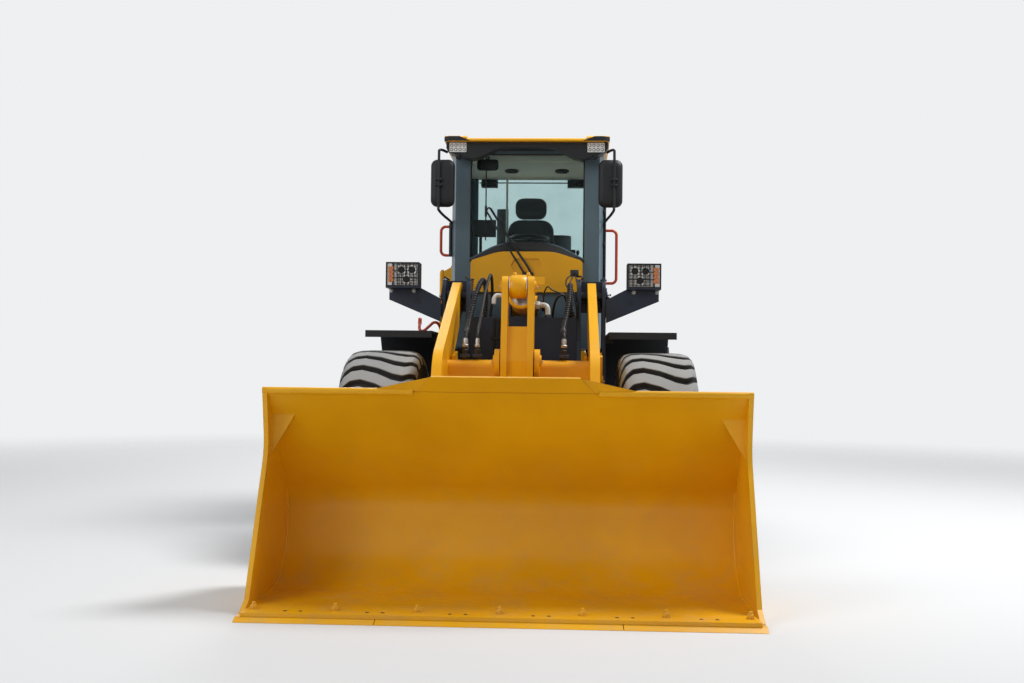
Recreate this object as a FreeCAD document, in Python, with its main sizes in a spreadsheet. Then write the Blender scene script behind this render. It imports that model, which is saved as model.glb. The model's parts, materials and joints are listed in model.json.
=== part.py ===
import FreeCAD, Part
# Articulated wheel loader with a Z-bar bucket linkage, built as separate sub-parts in one frame.
# The frame: +X is the machine's left, -Y is forward, +Z is up, and the ground is at zero.
import math
import os

import Sketcher

os.makedirs("parts", exist_ok=True)
doc = FreeCAD.newDocument("wheel_loader")
sheet = doc.addObject("Spreadsheet::Sheet", "Sizes")


class Size:
    """A length or angle with its value and the sheet expression that gives it."""

    def __init__(self, value, text):
        self.value = float(value)
        self.text = text

    def __add__(self, other):
        other = as_size(other)
        return Size(self.value + other.value, "(%s + %s)" % (self.text, other.text))

    def __sub__(self, other):
        other = as_size(other)
        return Size(self.value - other.value, "(%s - %s)" % (self.text, other.text))

    def __mul__(self, other):
        other = as_size(other)
        return Size(self.value * other.value, "(%s * %s)" % (self.text, other.text))

    def __truediv__(self, other):
        other = as_size(other)
        return Size(self.value / other.value, "(%s / %s)" % (self.text, other.text))

    def __neg__(self):
        return Size(-self.value, "(0 - %s)" % self.text)

    def __rsub__(self, other):
        return as_size(other) - self

    __radd__ = __add__
    __rmul__ = __mul__


def as_size(value):
    return value if isinstance(value, Size) else Size(value, "(%.6f)" % value)


def reach(across, along):
    return Size(math.hypot(across.value, along.value), "hypot(%s; %s)" % (across.text, along.text))


def heading(across, along):
    angle = math.degrees(math.atan2(across.value, along.value))
    return Size(angle, "atan2(%s; %s)" % (across.text, along.text))


# Driving sizes, in millimetres: one cell of the sheet each
DRIVING = {
    # Clearances between pieces
    "seat_gap": 0.3,
    "bore_gap": 0.05,
    "side_gap": 6,
    # Running gear
    "tyre_radius": 800,
    "carcass_radius": 762,
    "sidewall_radius": 668,
    "tyre_width": 595,
    "tread_width": 540,
    "shoulder_step": 20,
    "lug_root": 14,
    "lug_width": 100,
    "lug_wave": 24,
    "lug_hump_x": 110,
    "bulge_radius": 560,
    "rim_radius": 318,
    "rim_width": 495,
    "rim_wall": 14,
    "rim_flange": 26,
    "disc_thickness": 22,
    "disc_offset": 70,
    "hub_radius": 175,
    "hub_reach": 205,
    "hub_cap_radius": 88,
    "track_width": 2150,
    "front_axle_y": -1290,
    "rear_axle_y": 1910,
    "axle_tube_radius": 135,
    "axle_case_radius": 245,
    "axle_case_length": 380,
    "brake_radius": 200,
    "brake_length": 190,
    "axle_pad_width": 190,
    "axle_pad_length": 300,
    "hub_clearance": 12,
    "spindle_radius": 80,
    "spindle_depth": 70,
    # Steering hinge
    "pivot_y": 310,
    "pivot_pin_radius": 45,
    "pivot_boss_radius": 120,
    "lower_ear_z": 540,
    "upper_ear_z": 1090,
    "front_ear_thickness": 50,
    "rear_ear_thickness": 35,
    "shaft_z": 800,
    "shaft_radius": 55,
    "steer_pin_x": 400,
    "steer_base_x": 450,
    "steer_base_y": 1300,
    "steer_z": 900,
    "steer_tube_start": 35,
    "steer_tube_end": 640,
    "steer_bore_start": 75,
    "steer_wall": 10,
    "steer_eye_half": 54.7,
    "steer_rod_tail": 350,
    "steer_piston_length": 30,
    "steer_barrel_radius": 48,
    "steer_rod_radius": 25,
    "steer_eye_radius": 48,
    # Boom and linkage pins
    "boom_pin_y": -550,
    "boom_pin_z": 2090,
    "bucket_pin_y": -2700,
    "bucket_pin_z": 360,
    "crank_pin_y": -1850,
    "crank_pin_z": 1520,
    "crank_top_y": -1770.3,
    "crank_top_z": 2086.3,
    "crank_low_y": -1816,
    "crank_low_z": 620,
    "link_pin_y": -2693,
    "link_pin_z": 684,
    "tilt_base_y": -399.7,
    "tilt_base_z": 2017,
    "lift_base_y": -200,
    "lift_base_z": 1000,
    "lift_pin_y": -1370,
    "lift_pin_z": 1370,
    "pin_radius": 45,
    "pin_cap_radius": 80,
    "pin_cap_height": 14,
    # Boom arms
    "arm_thickness": 72,
    "arm_end_radius": 115,
    "arm_nose_radius": 105,
    "cross_width": 220,
    "cross_height": 215,
    "cross_y": -1555,
    "cross_z": 1422,
    "cross_corner": 60,
    "fitting_radius": 14,
    "fitting_height": 110,
    "fitting_offset": 40,
    "crank_ear_inner": 130,
    "crank_ear_thickness": 40,
    "clevis_thickness": 25,
    "clevis_corner": 80,
    "clevis_front": 90,
    "clevis_half": 85,
    "clevis_rear_top": 125,
    "clevis_front_top": 130,
    "clevis_rear_rise": 230,
    "clevis_front_rise": 190,
    "spacer_rise": 45,
    "spacer_front": 80,
    "spacer_half": 70,
    "pin_head": 8,
    "arm_nose_front": 158,
    "arm_nose_rise": 30,
    "arm_nose_drop": 150,
    "arm_knee_low_y": -1810,
    "arm_knee_low_z": 1240,
    "arm_knee_low_radius": 350,
    "arm_shoulder": 90,
    "arm_shoulder_radius": 200,
    "arm_knee_top_y": -2080,
    "arm_knee_top_z": 1560,
    "arm_knee_top_radius": 300,
    "arm_shin_y": -2480,
    "arm_shin_z": 800,
    "arm_shin_radius": 400,
    "bucket_ear_foot": 330,
    "bucket_ear_drop": 200,
    "bucket_ear_run": 260,
    "bucket_ear_rise": 420,
    "bucket_pin_head": 14,
    "link_ear_foot": 250,
    "link_ear_drop": 180,
    "link_ear_half": 80,
    "link_ear_run": 400,
    "link_ear_rise": 220,
    "link_pin_head": 12,
    "web_rear_top_y": -1850,
    "web_front_top_y": -1880,
    "web_top_z": 1780,
    "web_rear_mid_y": -1905,
    "web_front_mid_y": -1935,
    "web_mid_z": 1520,
    "web_rear_low_y": -1860,
    "web_front_low_y": -1890,
    "web_low_z": 900,
    "crank_bend_radius": 300,
    "crank_ear_half": 90,
    "crank_ear_corner": 85,
    "crank_ear_rear": 80,
    "crank_ear_rise": 100,
    "crank_pin_reach": 12,
    "lift_eye_width": 84,
    "lift_eye_radius": 75,
    "lift_foot_width": 140,
    # Bell crank and link
    "crank_spacing": 197,
    "crank_plate": 48,
    "crank_end_radius": 80,
    "crank_mid_radius": 115,
    "link_width": 120,
    "link_body": 90,
    "link_eye_radius": 78,
    # Bucket
    "bucket_width": 3024,
    "bucket_tip_y": -4040,
    "bucket_base_y": -3990,
    "bucket_back_y": -2860,
    "bucket_heel_radius": 450,
    "bucket_knee_radius": 260,
    "bucket_knee_z": 620,
    "bucket_lip_y": -3440,
    "bucket_lip_z": 1310,
    "bucket_wall": 22,
    "lean_wall": 28,
    "knee_drop": 8,
    "bucket_side": 30,
    "bucket_side_front_y": -3800,
    "bucket_side_notch_y": -3400,
    "bucket_side_notch_z": 950,
    "lip_bar_radius": 22,
    "guard_top_half": 453,
    "guard_fold_half": 550,
    "guard_foot_half": 845,
    "guard_top_z": 1411,
    "guard_thickness": 16,
    "gusset_y": -3340,
    "gusset_width": 150,
    "gusset_height": 250,
    "gusset_top_z": 1160,
    "edge_thickness": 25,
    "edge_depth": 260,
    "edge_bevel": 50,
    "strip_front_y": -3500,
    "strip_length": 180,
    "strip_width": 80,
    "edge_seam_x": 705,
    "seam_gap": 4,
    "bucket_ear_thickness": 32,
    "link_ear_thickness": 40,
    "bucket_ear_radius": 95,
    # Hydraulic cylinders
    "lift_barrel_radius": 75,
    "lift_bore_radius": 61,
    "lift_rod_radius": 40,
    "lift_barrel_length": 1110,
    "lift_rod_tail": 125,
    "tilt_barrel_radius": 105,
    "tilt_bore_radius": 88,
    "tilt_rod_radius": 50,
    "tilt_barrel_length": 860,
    "tilt_rod_tail": 560,
    "port_half": 80,
    "port_y": -1230,
    "port_length": 100,
    "port_low_z": 2110,
    "port_top_z": 2225,
    "tilt_eye_width": 136,
    "tilt_foot_width": 220,
    "tilt_eye_radius": 80,
    "cylinder_foot": 70,
    "piston_gap": 1,
    # Front frame
    "tower_inner_plate": 35,
    "tower_outer_plate": 30,
    "tower_tyre_gap": 107.5,
    "tower_width": 215,
    "arm_in_tower": 90,
    "tower_top_z": 2235,
    "tower_front_y": -690,
    "tower_rear_y": -400,
    "ledge_inset": 130,
    "ledge_thickness": 8,
    "ledge_lip": 12,
    "frame_floor_z": 965,
    "frame_nose_y": -1640,
    "frame_tail_y": -70,
    "frame_tail_top_z": 1160,
    "frame_tail_low_z": 880,
    "frame_tail_corner": 90,
    "belly_rear_y": -900,
    "belly_front_y": -960,
    "nose_top_z": 1150,
    "nose_wall_y": -1440,
    "nose_wall_thickness": 40,
    "nose_wall_top_z": 1240,
    "tower_corner": 110,
    "tower_root_z": 1400,
    "throat_corner": 120,
    "inner_throat_y": -1150,
    "inner_throat_z": 1350,
    "inner_front_y": -800,
    "outer_throat_y": -1000,
    "outer_throat_z": 1250,
    "outer_front_y": -760,
    "tower_front_z": 1700,
    "strap_depth": 24,
    "strap_low_z": 1960,
    "pin_reach": 20,
    "rib_y": -940,
    "rib_thickness": 30,
    "rib_low_z": 900,
    "rib_top_z": 1090,
    "wing_near_x": 250,
    "wing_far_x": 470,
    "wing_tip_x": 335,
    "wing_tip_y": 350,
    "wing_corner": 60,
    "wing_rise": 30,
    "hinge_wall_front_y": -170,
    "hinge_wall_rear_y": -130,
    "tower_wall_front_y": -800,
    "tower_wall_rear_y": -760,
    "tower_wall_top_z": 1900,
    "tower_wall_drop": 60,
    "deck_low_z": 1810,
    "deck_top_z": 1850,
    "frame_floor_top_z": 1005,
    "tilt_ear_foot_y": -560,
    "tilt_ear_foot_z": 1840,
    "tilt_ear_reach": 90,
    "tilt_ear_corner": 85,
    "tilt_ear_thickness": 34,
    "tilt_pin_reach": 55,
    "hinge_ear_half": 400,
    "hinge_ear_front_y": -140,
    # Fenders and lamps
    "fender_plate": 8,
    "fender_width": 534,
    "fender_top_z": 1760,
    "fender_lip": 55,
    "fender_front_y": -1380,
    "fender_bend_y": -620,
    "fender_tail_y": -340,
    "fender_fall": 420,
    "lamp_y": -860,
    "lamp_reach": 310,
    "lamp_rim": 12,
    "lamp_recess": 30,
    "lamp_signal_width": 66,
    "guard_bar": 6,
    "bracket_foot_z": 1856,
    "bracket_top_z": 2054,
    "bracket_end": 100,
    "lamp_z": 2245,
    "lamp_width": 280,
    "lamp_depth": 170,
    "lamp_height": 206,
    # Rear frame
    "rear_fender_top_z": 1700,
    "rear_fender_inner_x": 756,
    "rear_fender_lip": 27,
    "tank_depth": 170,
    "tank_top_z": 2522,
    "tank_chamfer": 80,
    "tank_front_y": 1020,
    "rail_x": 400,
    "rail_thickness": 32,
    "rail_front_y": 1400,
    "rail_rear_y": 3560,
    "rail_top_z": 1180,
    "rail_front_low_z": 700,
    "rail_rear_low_z": 800,
    "axle_arch_z": 1060,
    "axle_arch_front": 350,
    "axle_arch_rear": 390,
    "arch_front_run": 80,
    "arch_rear_run": 150,
    "neck_low_z": 520,
    "trunnion_gap": 20,
    "trunnion_thickness": 40,
    "gear_case_half": 190,
    "gear_case_front_y": 960,
    "gear_case_low_z": 640,
    "gear_case_top_z": 1080,
    "joint_gap": 62,
    "joint_cross_radius": 52,
    "joint_cross_half": 60,
    "joint_neck_radius": 40,
    "joint_neck_length": 80,
    "engine_behind_axle": 510,
    "engine_tail_gap": 260,
    "engine_half_width": 330,
    "engine_top_z": 1800,
    "engine_above_weight": 60,
    "engine_foot_length": 110,
    "engine_foot_low_z": 900,
    "engine_foot_top_z": 980,
    "engine_foot_inset": 80,
    "engine_foot_rear_inset": 180,
    "neck_x": 200,
    "neck_front_y": 600,
    # Cab
    "cab_half_width": 700,
    "cab_front_half": 656,
    "cab_front_y": -50,
    "cab_chamfer_y": 100,
    "cab_rear_y": 1420,
    "cab_floor_z": 1660,
    "cab_sill_z": 1900,
    "cab_wall": 50,
    "cowl_top_z": 2528,
    "screen_half": 522,
    "screen_low_z": 2470,
    "screen_crown_z": 2612,
    "screen_corner": 70,
    "screen_bend": 420,
    "sill_rise": 100,
    "side_window_front_y": 200,
    "side_window_rear_y": 1330,
    "door_post": 70,
    "back_window_half": 560,
    "cowl_depth": 60,
    "cowl_low_z": 2160,
    "cowl_shoulder_z": 2446,
    "cowl_foot_half": 508,
    "cowl_top_half": 250,
    "cowl_corner": 40,
    "recess_half": 140,
    "recess_slant": 32,
    "recess_low_z": 2342,
    "recess_top_z": 2462,
    "recess_depth": 12,
    "door_front_y": 180,
    "door_rear_y": 1060,
    "door_gap": 6,
    "door_frame": 60,
    "knuckle_radius": 18,
    "knuckle_pin": 9,
    "knuckle_height": 70,
    "knuckle_gap": 0.3,
    "hinge_low_z": 1880,
    "hinge_high_z": 3060,
    "glass_thickness": 6,
    "roof_top_z": 3515,
    "roof_thickness": 60,
    "header_height": 25,
    "roof_front_y": -360,
    "roof_corner_y": -318,
    "roof_corner_x": 690,
    "roof_rear_y": 1500,
    "roof_half_width": 735,
    "brow_height": 28,
    "pod_height": 22,
    "pod_inner_x": 532,
    "pod_rear_y": 500,
    "lamp_bay_rear_y": -150,
    "visor_gap": 14,
    "visor_arch_drop": 135,
    "visor_mid_drop": 47,
    "visor_run": 40,
    "visor_mid_half": 250,
    "visor_arch_half": 420,
    "visor_bend": 160,
    "visor_inset": 58,
    "roof_lamp_width": 168,
    "roof_lamp_height": 98,
    "roof_lamp_depth": 36,
    "lamp_frame": 5,
    # Inside the cab
    "seat_pad_z": 2240,
    "seat_half": 232,
    "seat_back_z": 2960,
    "seat_neck_length": 12,
    "seat_head_height": 208,
    "seat_head_half": 157,
    "seat_front_y": 560,
    "seat_rear_y": 1080,
    "seat_pad_height": 130,
    "seat_base_half": 160,
    "seat_base_front_y": 650,
    "seat_back_y": 1000,
    "seat_back_depth": 120,
    "seat_neck_half": 60,
    "seat_neck_y": 1040,
    "seat_neck_depth": 40,
    "seat_head_y": 1010,
    "seat_head_depth": 100,
    "column_radius": 45,
    "column_start": 25,
    "column_foot_half": 80,
    "column_foot_front": 60,
    "column_foot_rear": 90,
    "column_foot_height": 50,
    "wheel_spoke_half": 22,
    "arm_rest_width": 150,
    "arm_rest_length": 420,
    "monitor_depth": 40,
    "monitor_pole_inset": 60,
    "monitor_pole_radius": 14,
    "monitor_stand_inset": 20,
    "monitor_stand_width": 80,
    "monitor_stand_depth": 100,
    "steer_wheel_y": 470,
    "steer_wheel_z": 2690,
    "steer_wheel_radius": 200,
    "wheel_rim": 24,
    "column_foot_y": 270,
    "console_near_x": 300,
    "console_far_x": 600,
    "console_front_y": 560,
    "console_rear_y": 1200,
    "console_top_z": 2480,
    "arm_rest_z": 2640,
    "dash_half": 420,
    "dash_rear_y": 130,
    "dash_top_z": 2430,
    "monitor_near_x": 300,
    "monitor_far_x": 506,
    "monitor_y": 190,
    "monitor_low_z": 2695,
    "monitor_top_z": 2853,
    # Mirrors and grab loops
    "mirror_y": -372,
    "mirror_depth": 80,
    "mirror_near_x": 640,
    "mirror_far_x": 852,
    "mirror_height": 422,
    "mirror_top_drop": 193,
    "mirror_tube_x": 775,
    "mirror_start": 110,
    "mirror_start_drop": 110,
    "mirror_stand": 4,
    "clamp_half": 26,
    "mirror_tube_radius": 12,
    "mirror_tail": 38,
    "mirror_foot": 20,
    "mirror_foot_drop": 40,
    "grab_offset": 30,
    "grab_radius": 13,
    "grab_bend": 45,
    "grab_left_x": 822,
    "grab_left_low_z": 2262,
    "grab_left_top_z": 2750,
    "grab_right_x": 806,
    "grab_right_low_z": 2513,
    "grab_right_top_z": 2780,
    # Hood and rear
    "hood_front_y": 1560,
    "hood_overhang": 80,
    "hood_half_width": 560,
    "hood_top_z": 2490,
    "hood_chamfer_run": 110,
    "hood_chamfer_drop": 90,
    "hood_chamfer_inset": 15,
    "hood_foot_front_y": 1700,
    "hood_foot_rear_inset": 180,
    "hood_foot_length": 100,
    "hood_foot_lap": 30,
    "hood_slot_front": 580,
    "hood_slot_rear": 220,
    "grille_edge": 110,
    "grille_depth": 60,
    "grille_low_gap": 30,
    "grille_hinge_low_z": 1620,
    "grille_hinge_top_z": 2280,
    "weight_overhang": 480,
    "weight_front_gap": 110,
    "weight_front_corner": 60,
    "weight_corner_run": 120,
    "weight_flat_half": 700,
    "weight_inner_half": 500,
    "weight_wing_x": 810,
    "weight_wing_front": 160,
    "weight_wing_rear": 140,
    "weight_wing_height": 190,
    "hitch_half": 150,
    "hitch_depth": 230,
    "hitch_low_z": 840,
    "hitch_top_z": 1080,
    "hitch_pin_inset": 120,
    "hitch_drop_radius": 34,
    "hitch_hole_radius": 26,
    "jaw_half": 90,
    "jaw_inset": 60,
    "jaw_height": 40,
    "jaw_low_z": 880,
    "jaw_top_z": 1000,
    "jaw_back_depth": 30,
    "tail_lamp_edge": 90,
    "tail_lamp_width": 190,
    "tail_lamp_depth": 35,
    "tail_lamp_rise": 50,
    "tail_lamp_height": 100,
    "hood_low_z": 1430,
    "hood_wall": 40,
    "slot_low_z": 1760,
    "slot_pitch": 80,
    "slot_height": 46,
    "grille_margin": 150,
    "cleaner_neck": 230,
    "weight_half_width": 1180,
    "weight_low_z": 760,
    "weight_top_z": 1420,
}


class Namespace:
    """The driving sizes, each under its own name."""


s = Namespace()
for row, (name, value) in enumerate(DRIVING.items(), start=1):
    sheet.set("A%d" % row, name)
    sheet.set("B%d" % row, str(value))
    sheet.setAlias("B%d" % row, name)
    setattr(s, name, Size(value, "Sizes.%s" % name))


# Helpers that draw and join
PLANES = {"x": "YZ_Plane", "y": "XZ_Plane", "z": "XY_Plane"}


def rounded_corner(before, corner, after, radius):
    """First and last tangent point, and the centre, of the arc that rounds one corner."""
    to_before = FreeCAD.Vector(before[0] - corner[0], before[1] - corner[1], 0)
    to_after = FreeCAD.Vector(after[0] - corner[0], after[1] - corner[1], 0)
    to_before.normalize()
    to_after.normalize()
    half = to_before.getAngle(to_after) / 2
    run = radius / math.tan(half)
    middle = to_before + to_after
    middle.normalize()
    here = FreeCAD.Vector(corner[0], corner[1], 0)
    return here + to_before * run, here + to_after * run, here + middle * (radius / math.sin(half))


def bind_point(sketch, element, end, point):
    """Tie one point of a sketch to its two sizes."""
    for kind, measure in (("DistanceX", point[0]), ("DistanceY", point[1])):
        index = sketch.addConstraint(Sketcher.Constraint(kind, -1, 1, element, end, measure.value))
        sketch.setExpression("Constraints[%d]" % index, measure.text)


def draw_outline(sketch, outline):
    """Closed outline of straight lines; a corner with a third value is rounded by that radius."""
    points = [(as_size(corner[0]), as_size(corner[1])) for corner in outline]
    radii = [as_size(corner[2]) if len(corner) > 2 else None for corner in outline]
    flat = [(point[0].value, point[1].value) for point in points]
    count = len(flat)
    arrive = [FreeCAD.Vector(x, y, 0) for x, y in flat]
    leave = list(arrive)
    centres = [None] * count
    for i in range(count):
        if radii[i] is not None:
            arcs = rounded_corner(flat[i - 1], flat[i], flat[(i + 1) % count], radii[i].value)
            arrive[i], leave[i], centres[i] = arcs
    lines = []
    for i in range(count):
        segment = Part.LineSegment(leave[i], arrive[(i + 1) % count])
        lines.append(sketch.addGeometry(segment, False))
    for i in range(count):
        before, after = lines[i - 1], lines[i]
        if radii[i] is None:
            sketch.addConstraint(Sketcher.Constraint("Coincident", before, 2, after, 1))
            bind_point(sketch, after, 1, points[i])
            continue
        start = math.atan2(arrive[i].y - centres[i].y, arrive[i].x - centres[i].x)
        stop = math.atan2(leave[i].y - centres[i].y, leave[i].x - centres[i].x)
        turn = (stop - start) % (2 * math.pi)
        first, last = 1, 2
        if turn > math.pi:
            start, turn = stop, 2 * math.pi - turn
            first, last = 2, 1
        circle = Part.Circle(centres[i], FreeCAD.Vector(0, 0, 1), radii[i].value)
        arc = sketch.addGeometry(Part.ArcOfCircle(circle, start, start + turn), False)
        sketch.addConstraint(Sketcher.Constraint("Tangent", before, 2, arc, first))
        sketch.addConstraint(Sketcher.Constraint("Tangent", arc, last, after, 1))
        index = sketch.addConstraint(Sketcher.Constraint("Radius", arc, radii[i].value))
        sketch.setExpression("Constraints[%d]" % index, radii[i].text)
        corner = sketch.addGeometry(Part.Point(FreeCAD.Vector(flat[i][0], flat[i][1], 0)), True)
        sketch.addConstraint(Sketcher.Constraint("PointOnObject", corner, 1, before))
        sketch.addConstraint(Sketcher.Constraint("PointOnObject", corner, 1, after))
        bind_point(sketch, corner, 1, points[i])


def outline_body(label, axis, outline, start):
    """A body with a sketch on its origin plane across one axis, moved along that axis."""
    body = doc.addObject("PartDesign::Body", label)
    sketch = body.newObject("Sketcher::SketchObject", label + "_outline")
    plane = [item for item in body.Origin.OriginFeatures if item.Role == PLANES[axis]][0]
    sketch.AttachmentSupport = (plane, "")
    sketch.MapMode = "FlatFace"
    sketch.AttachmentOffset = FreeCAD.Placement(FreeCAD.Vector(0, 0, start.value), FreeCAD.Rotation())
    sketch.setExpression("AttachmentOffset.Base.z", start.text)
    draw_outline(sketch, outline)
    return body, sketch


def prism(label, axis, outline, low, high):
    """An outline given in the two other axes, in X, Y, Z order, and padded from low to high."""
    low, high = as_size(low), as_size(high)
    body, sketch = outline_body(label, axis, outline, -high if axis == "y" else low)
    pad = body.newObject("PartDesign::Pad", label + "_pad")
    pad.Profile = sketch
    pad.Length = (high - low).value
    pad.setExpression("Length", (high - low).text)
    return body


def turned(label, profile, place):
    """A profile of (x, radius) points turned about a line along X through the given place."""
    body, sketch = outline_body(label, "z", profile, as_size(0))
    turn = body.newObject("PartDesign::Revolution", label + "_turn")
    turn.Profile = sketch
    turn.ReferenceAxis = (sketch, ["H_Axis"])
    turn.Angle = 360
    move(body, place)
    return body


def move(item, place):
    """Set and bind where an object's own origin sits."""
    place = [as_size(value) for value in place]
    item.Placement.Base = FreeCAD.Vector(*[value.value for value in place])
    for letter, value in zip("xyz", place):
        item.setExpression("Placement.Base." + letter, value.text)


def box(label, x, y, z):
    """A block between the low and high value on each axis."""
    item = doc.addObject("Part::Box", label)
    spans = [(as_size(low), as_size(high)) for low, high in (x, y, z)]
    for side, (low, high) in zip(("Length", "Width", "Height"), spans):
        setattr(item, side, (high - low).value)
        item.setExpression(side, (high - low).text)
    move(item, [low for low, high in spans])
    return item


TURNS = {
    "x": FreeCAD.Rotation(FreeCAD.Vector(0, 1, 0), 90),
    "y": FreeCAD.Rotation(FreeCAD.Vector(1, 0, 0), -90),
    "z": FreeCAD.Rotation(),
}


def rod(label, axis, centre, radius, low, high):
    """A round bar along one axis; the centre is given in the two other axes."""
    radius, low, high = as_size(radius), as_size(low), as_size(high)
    item = doc.addObject("Part::Cylinder", label)
    item.Radius = radius.value
    item.setExpression("Radius", radius.text)
    item.Height = (high - low).value
    item.setExpression("Height", (high - low).text)
    item.Placement.Rotation = TURNS[axis]
    place = list(centre)
    place.insert("xyz".index(axis), low)
    move(item, place)
    return item


def strut(label, x, start, end, radius, near, far):
    """A round bar on the line between two (y, z) points, from near to far along that line."""
    radius, near, far = as_size(radius), as_size(near), as_size(far)
    run_y, run_z = end[0] - start[0], end[1] - start[1]
    span = reach(run_y, run_z)
    item = doc.addObject("Part::Cylinder", label)
    item.Radius = radius.value
    item.setExpression("Radius", radius.text)
    item.Height = (far - near).value
    item.setExpression("Height", (far - near).text)
    tilt = heading(-run_y, run_z)
    item.Placement.Rotation = FreeCAD.Rotation(FreeCAD.Vector(1, 0, 0), tilt.value)
    item.setExpression("Placement.Rotation.Angle", tilt.text)
    move(item, (x, start[0] + run_y * near / span, start[1] + run_z * near / span))
    return item


def mirror(label, item):
    """The same piece on the machine's other side."""
    copy = doc.addObject("Part::Mirroring", label)
    copy.Source = item
    copy.Normal = (1, 0, 0)
    copy.Base = (0, 0, 0)
    return copy


def both_sides(items):
    return [piece for item in items for piece in (item, mirror(item.Label + "_other_side", item))]


def fuse(label, items):
    result = doc.addObject("Part::MultiFuse", label)
    result.Shapes = items
    result.Refine = True
    return result


def cut(label, base, tool):
    result = doc.addObject("Part::Cut", label)
    result.Base = base
    result.Tool = tool
    return result


def gather(label, items):
    """Separate solids that share one sub-part."""
    result = doc.addObject("Part::Compound", label)
    result.Links = items
    return result


nodes = []


def node(label, item):
    """Keep an object as a sub-part of the loader under its final name."""
    item.Label = label
    nodes.append(item)
    return item


LUG_COUNT = 28
CUT_PAST = 20
HOOD_SLOTS = 8
GRILLE_SLOTS = 9
LAMP_BARS = 5
HOSE_FITTINGS_X = (-415, -322, 351)
half_track = s.track_width / 2
s.tower_outer_x = half_track - s.tyre_width / 2 - s.tower_tyre_gap
s.tower_inner_x = s.tower_outer_x - s.tower_width
s.arm_x = s.tower_outer_x - s.arm_in_tower
s.cab_top_z = s.roof_top_z - s.roof_thickness
s.window_top_z = s.cab_top_z - s.header_height
s.roof_brow_z = s.roof_top_z - s.brow_height
s.mirror_start_z = s.roof_top_z - s.mirror_start_drop
s.mirror_top_z = s.roof_top_z - s.mirror_top_drop
s.mirror_low_z = s.mirror_top_z - s.mirror_height
s.mirror_tail_z = s.mirror_low_z - s.mirror_tail
s.mirror_foot_z = s.mirror_tail_z - s.mirror_foot_drop
s.seat_head_z = s.seat_back_z + s.seat_neck_length
s.seat_top_z = s.seat_head_z + s.seat_head_height
s.engine_front_y = s.rear_axle_y + s.engine_behind_axle
s.engine_rear_y = s.rail_rear_y - s.engine_tail_gap
s.hood_rear_y = s.rail_rear_y + s.hood_overhang
s.weight_rear_y = s.rail_rear_y + s.weight_overhang
s.fender_inner_x = s.tower_outer_x + s.tower_outer_plate + s.side_gap
s.fender_outer_x = s.fender_inner_x + s.fender_width
s.lamp_x = s.tower_outer_x + s.tower_outer_plate + s.lamp_reach
axle_z = s.tyre_radius
SIDES = (("left", 1), ("right", -1))


# Tyres and rims, turned about the axle line and placed at the four corners
def loft(label, sections):
    """A straight-sided solid through closed sections."""
    item = doc.addObject("Part::Loft", label)
    item.Sections = sections
    item.Solid = True
    item.Ruled = True
    return item


def placed(label, item, place, turn=0):
    """A copy of a solid, turned about the X direction and then moved."""
    copy = doc.addObject("Part::Compound", label)
    copy.Links = [item]
    copy.Placement.Rotation = FreeCAD.Rotation(FreeCAD.Vector(1, 0, 0), turn)
    move(copy, place)
    return copy


def facet_ring(label, profile):
    """A ring about the axle from a closed profile of x and distance to the flats, a corner under each lug."""
    corner = 1 / math.cos(math.pi / LUG_COUNT)
    rows = []
    for i in range(LUG_COUNT):
        turn = 2 * math.pi * i / LUG_COUNT
        rows.append([FreeCAD.Vector(x.value, -r.value * corner * math.sin(turn),
                                    r.value * corner * math.cos(turn))
                     for x, r in profile])
    faces = []
    for i, here in enumerate(rows):
        there = rows[(i + 1) % LUG_COUNT]
        for j in range(len(profile)):
            k = (j + 1) % len(profile)
            faces.append(Part.Face(Part.makePolygon([here[j], here[k], there[k], there[j], here[j]])))
    shell = Part.Shell(faces)
    shell.sewShape()
    item = doc.addObject("Part::Feature", label)
    item.Shape = Part.Solid(shell)
    return item


def tyre_solid():
    """Carcass with flats between the lugs, dished sides, and lugs with two humps and a dip in the middle."""
    half = s.tyre_width / 2
    edge = s.tread_width / 2 - s.shoulder_step
    bead = s.rim_width / 2 - s.rim_wall - s.seat_gap
    bore = s.rim_radius + s.seat_gap
    side = [(edge, s.carcass_radius), (half, s.sidewall_radius), (half, s.bulge_radius),
            (bead, s.rim_radius + s.rim_flange + s.seat_gap * 5), (bead, bore)]
    body = facet_ring("carcass", side + [(-x, r) for x, r in reversed(side)])
    hump, wave, thick = s.lug_hump_x, s.lug_wave, s.lug_width / 2
    line = ((-edge, -wave), (-hump, wave), (hump, wave), (edge, -wave))
    outline = [(x, y + thick) for x, y in line] + [(x, y - thick) for x, y in reversed(line)]
    lug = prism("lug", "z", outline, s.carcass_radius - s.lug_root, s.tyre_radius)
    pitch = 360 / LUG_COUNT
    lugs = [placed("lug_%d" % i, lug, (0, 0, 0), pitch * i) for i in range(LUG_COUNT)]
    solid = doc.addObject("Part::MultiFuse", "tyre_solid")
    solid.Shapes = [body] + lugs
    return solid


def rim_profile():
    """Section of a rim from inboard to outboard: barrel, flanges, web and the stepped hub."""
    seat = s.rim_width / 2
    inner = s.rim_radius - s.rim_wall
    flange = s.rim_radius + s.rim_flange
    socket = s.spindle_radius + s.bore_gap
    web_in = s.disc_offset
    web_out = s.disc_offset + s.disc_thickness
    return [
        (-seat, inner), (web_in, inner), (web_in, s.hub_radius), (-web_in, s.hub_radius), (-web_in, socket),
        (-web_in + s.spindle_depth, socket), (-web_in + s.spindle_depth, 0), (s.hub_reach, 0),
        (s.hub_reach, s.hub_cap_radius), (web_out + s.disc_thickness, s.hub_radius - s.rim_flange),
        (web_out, inner), (seat, inner), (seat, flange), (seat - s.rim_wall, flange),
        (seat - s.rim_wall, s.rim_radius), (-seat + s.rim_wall, s.rim_radius), (-seat + s.rim_wall, flange),
        (-seat, flange),
    ]


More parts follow.
